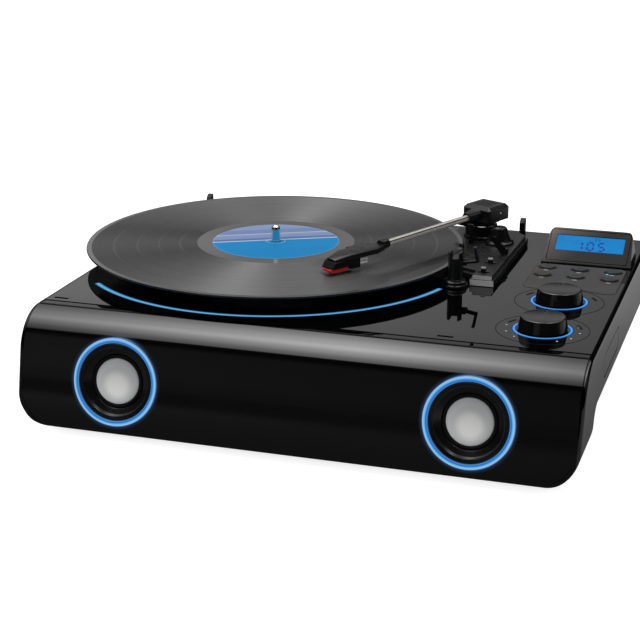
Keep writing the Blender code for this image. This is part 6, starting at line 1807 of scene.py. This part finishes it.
def side_door():
    """The flap in the right side with its flange and stubs."""
    half = DOOR_FLANGE / 2
    axis_x = RIGHT - WALL - DOOR_AXIS_INSET
    axis_z = DOOR_TOP_Z - half
    plate = slab(door_outline(0), RIGHT - DOOR_THICK, RIGHT, DOOR_EDGE, "X")
    flange = box(
        (axis_x - half, DOOR_FRONT_Y + DOOR_CORNER, axis_z - half),
        (RIGHT - DOOR_THICK / 2, DOOR_BACK_Y - DOOR_CORNER, axis_z + half))
    stubs = rod(
        axis_x, axis_z, DOOR_STUB_RADIUS, DOOR_FRONT_Y - DOOR_STUB_LENGTH,
        DOOR_BACK_Y + DOOR_STUB_LENGTH, "Y")
    piece("door_flap", fused(plate, [flange, stubs]), GLOSS, "side_door", "side_door")


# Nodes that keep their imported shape

PLAIN_NODES = (
    (STEEL, ("platter", "drive_motor", "rotary_switch", "volume_potentiometer", "cassette_mechanism")),
    (BRASS, ("bearing_sleeve", "motor_pulley")),
    (RUBBER, ("drive_belt", "foot_front_left", "foot_front_right", "foot_rear_left", "foot_rear_right")),
    (BOARD, ("main_circuit_board",)), (MATTE, ("connector_panel",)), (SATIN, ("bottom_cover",)))


def plain_nodes():
    """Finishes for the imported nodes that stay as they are."""
    for finish, names in PLAIN_NODES:
        for name in names:
            for slot in frame["nodes"][name].material_slots:
                slot.material = finish


# Room, light and camera

CAMERA_AT = Vector((0.41726, -1.19525, 0.36469))
CAMERA_FORWARD = Vector((-0.2878, 0.9049, -0.3137))
CAMERA_LENS = 91.95
CAMERA_SENSOR = 36.0
FLOOR_RADIUS = 7.0
FLOOR_STEPS = 64
FLOOR_ALBEDO = (0.62, 0.62, 0.62, 1.0)
# Reflections see a darker floor with painted shade: darkest towards the cabinet, at smaller X, lighter
# further out.
FLOOR_MIRRORED_PAINTED_SHADE = (0.11, 0.49)
FLOOR_PAINTED_SHADE_SPAN = (0.19, 0.28)
FLOOR_GLOW = 0.80
WHITE = (1.0, 1.0, 1.0, 1.0)
HALF = 0.5
HALF_TURN_DEGREES = degrees(HALF_TURN)
ROOM_LIGHT = 0.62
STUDIO_BY_ANGLE = (
    (0, 0.10), (8, 0.13), (12, 0.18), (16, 0.45), (19.2, 0.46), (20.5, 0.28), (24, 0.10), (31, 0.03),
    (33, 1.45), (37, 1.65), (48, 2.7), (57.5, 4.1), (65, 5.5), (75, 7.05), (82, 8.95), (88, 8.9),
    (93, 7.4), (99, 6.1), (105, 4.9), (110, 3.45), (115, 2.65), (119.5, 2.0), (121, 0.02), (130, 0.02),
    (140, 0.11), (180, 0.12))
LOW_ACROSS = (
    (-1.0, 0.0), (-0.56, 0.10), (-0.47, 1.37), (-0.42, 1.42), (-0.37, 1.15), (-0.25, 1.00),
    (-0.20, 0.88), (-0.14, 0.80), (-0.10, 0.68), (-0.07, 0.38), (-0.04, 0.03), (1.0, 0.0))
HIGH_ACROSS = (
    (-1.0, 0.0), (-0.52, 0.27), (-0.44, 0.48), (-0.37, 0.72), (-0.30, 0.92), (-0.2645, 1.0),
    (-0.2295, 0.88), (-0.195, 0.71), (-0.16, 0.59), (-0.136, 0.48), (-0.05, 0.30), (0.18, 0.12),
    (0.25, 0.80), (0.40, 0.80), (0.48, 0.08), (1.0, 0.02))
HIGH_BY_ANGLE = ((0, 0.0), (24, 0.0), (33, 1.0), (121, 1.0), (130, 0.0), (180, 0.0))
STUDIO_PEAK = max(level for _, level in STUDIO_BY_ANGLE)
ACROSS_PEAK = 1.5
LAMPS = (
    ("front_lamp", (-1.1, -1.9, 1.0), 0.9, 16.0),
    ("key_lamp", (-1.1, -0.9, 1.7), 1.4, 10.0),
    ("fill_lamp", (1.5, -0.4, 1.3), 1.6, 5.0),
    ("rear_lamp", (0.1, 1.6, 1.5), 1.6, 5.0))


def cleared(owner):
    """The emptied nodes of a world or a material."""
    owner.use_nodes = True
    owner.node_tree.nodes.clear()
    return Nodes(owner.node_tree)


def studio_world():
    """White for the camera, an overhead studio sky for reflections, and an even fill."""
    world = bpy.data.worlds.new("studio")
    bpy.context.scene.world = world
    sky = cleared(world)
    x, y, z = sky.split(sky.add("TexCoord", output="Generated"))
    turn = sky.math("DIVIDE", sky.math("ARCTAN2", z, y), HALF_TURN)
    side = sky.math("MULTIPLY_ADD", x, HALF, HALF)
    up = sky.ramp(turn, [(a / HALF_TURN_DEGREES, level / STUDIO_PEAK) for a, level in STUDIO_BY_ANGLE])
    low, high = (
        sky.ramp(side, [((at + 1) / 2, level / ACROSS_PEAK) for at, level in table])
        for table in (LOW_ACROSS, HIGH_ACROSS))
    blend = sky.ramp(turn, [(a / HALF_TURN_DEGREES, level) for a, level in HIGH_BY_ANGLE])
    across = sky.add("Mix", {"Factor": blend, "A": low, "B": high}, "Result", data_type="FLOAT")
    studio = sky.add("Background", {
        "Color": up, "Strength": sky.math("MULTIPLY", across, STUDIO_PEAK * ACROSS_PEAK)})
    even, white = (
        sky.add("Background", {"Color": WHITE, "Strength": level}) for level in (ROOM_LIGHT, 1.0))
    path = sky.add("LightPath").node.outputs
    mirrored = sky.add("MixShader", {"Fac": path["Is Glossy Ray"], 1: even, 2: studio})
    sky.end("World", sky.add("MixShader", {"Fac": path["Is Camera Ray"], 1: mirrored, 2: white}))
    world.cycles.sampling_method = "NONE"


def floor():
    """A pale floor that keeps the object's shadow and looks white to the camera; reflections see it darker,
    with painted shade towards the cabinet.
    """
    bm = bmesh.new()
    bm.faces.new([bm.verts.new((x, y, 0)) for x, y in circle(0, 0, FLOOR_RADIUS, FLOOR_STEPS)])
    obj = raw_object("studio_floor", bm)
    finish = bpy.data.materials.new("studio_floor")
    nodes = cleared(finish)
    path = nodes.add("LightPath").node.outputs
    x, _, _ = nodes.split(nodes.add("TexCoord", output="Object"))
    # For glossy rays the floor's colour carries painted shade, darker towards the cabinet at smaller X.
    colour = nodes.add("Mix", {
        "A": FLOOR_ALBEDO, "B": nodes.span(x, *FLOOR_PAINTED_SHADE_SPAN, *FLOOR_MIRRORED_PAINTED_SHADE),
        "Factor": path["Is Glossy Ray"]}, "Result", data_type="RGBA")
    light = nodes.add("Emission", {"Strength": nodes.math("MULTIPLY", path["Is Camera Ray"], FLOOR_GLOW)})
    matte = nodes.add("BsdfDiffuse", {"Color": colour})
    nodes.end("Material", nodes.add("AddShader", {0: matte, 1: light}))
    obj.data.materials.append(finish)


def stand(name, data, at, forward):
    """A lamp or a camera at a place, looking forward."""
    obj = bpy.data.objects.new(name, data)
    obj.location = at
    obj.rotation_euler = forward.to_track_quat("-Z", "Y").to_euler()
    bpy.context.scene.collection.objects.link(obj)
    return obj


def lamps():
    """Soft area lamps that shape the matte surfaces."""
    for name, at, size, power in LAMPS:
        data = bpy.data.lights.new(name, "AREA")
        data.shape = "DISK"
        data.size = size
        data.energy = power
        stand(name, data, at, -Vector(at)).visible_glossy = False


def camera():
    """The photograph's viewpoint."""
    data = bpy.data.cameras.new("photo_camera")
    data.lens = CAMERA_LENS
    data.sensor_width = CAMERA_SENSOR
    data.clip_end = 2 * FLOOR_RADIUS
    bpy.context.scene.camera = stand("photo_camera", data, CENTRE + CAMERA_AT, CAMERA_FORWARD)
    bpy.context.scene.view_settings.view_transform = "Standard"


def build():
    """Make the room, the camera and every piece."""
    for make in (
            camera, studio_world, floor, lamps, cabinet, deck_plate, front_face, light_arc,
            cover_hinge_lugs, record, spindle, display, control_panel, buttons, knobs, deck_marks,
            speakers, arm_base, pedestal, slide_switches, cueing, arm_yoke, arm_housing, arm_tube,
            headshell, cartridge, arm_rest, rest_clip, side_door, plain_nodes):
        make()


build()
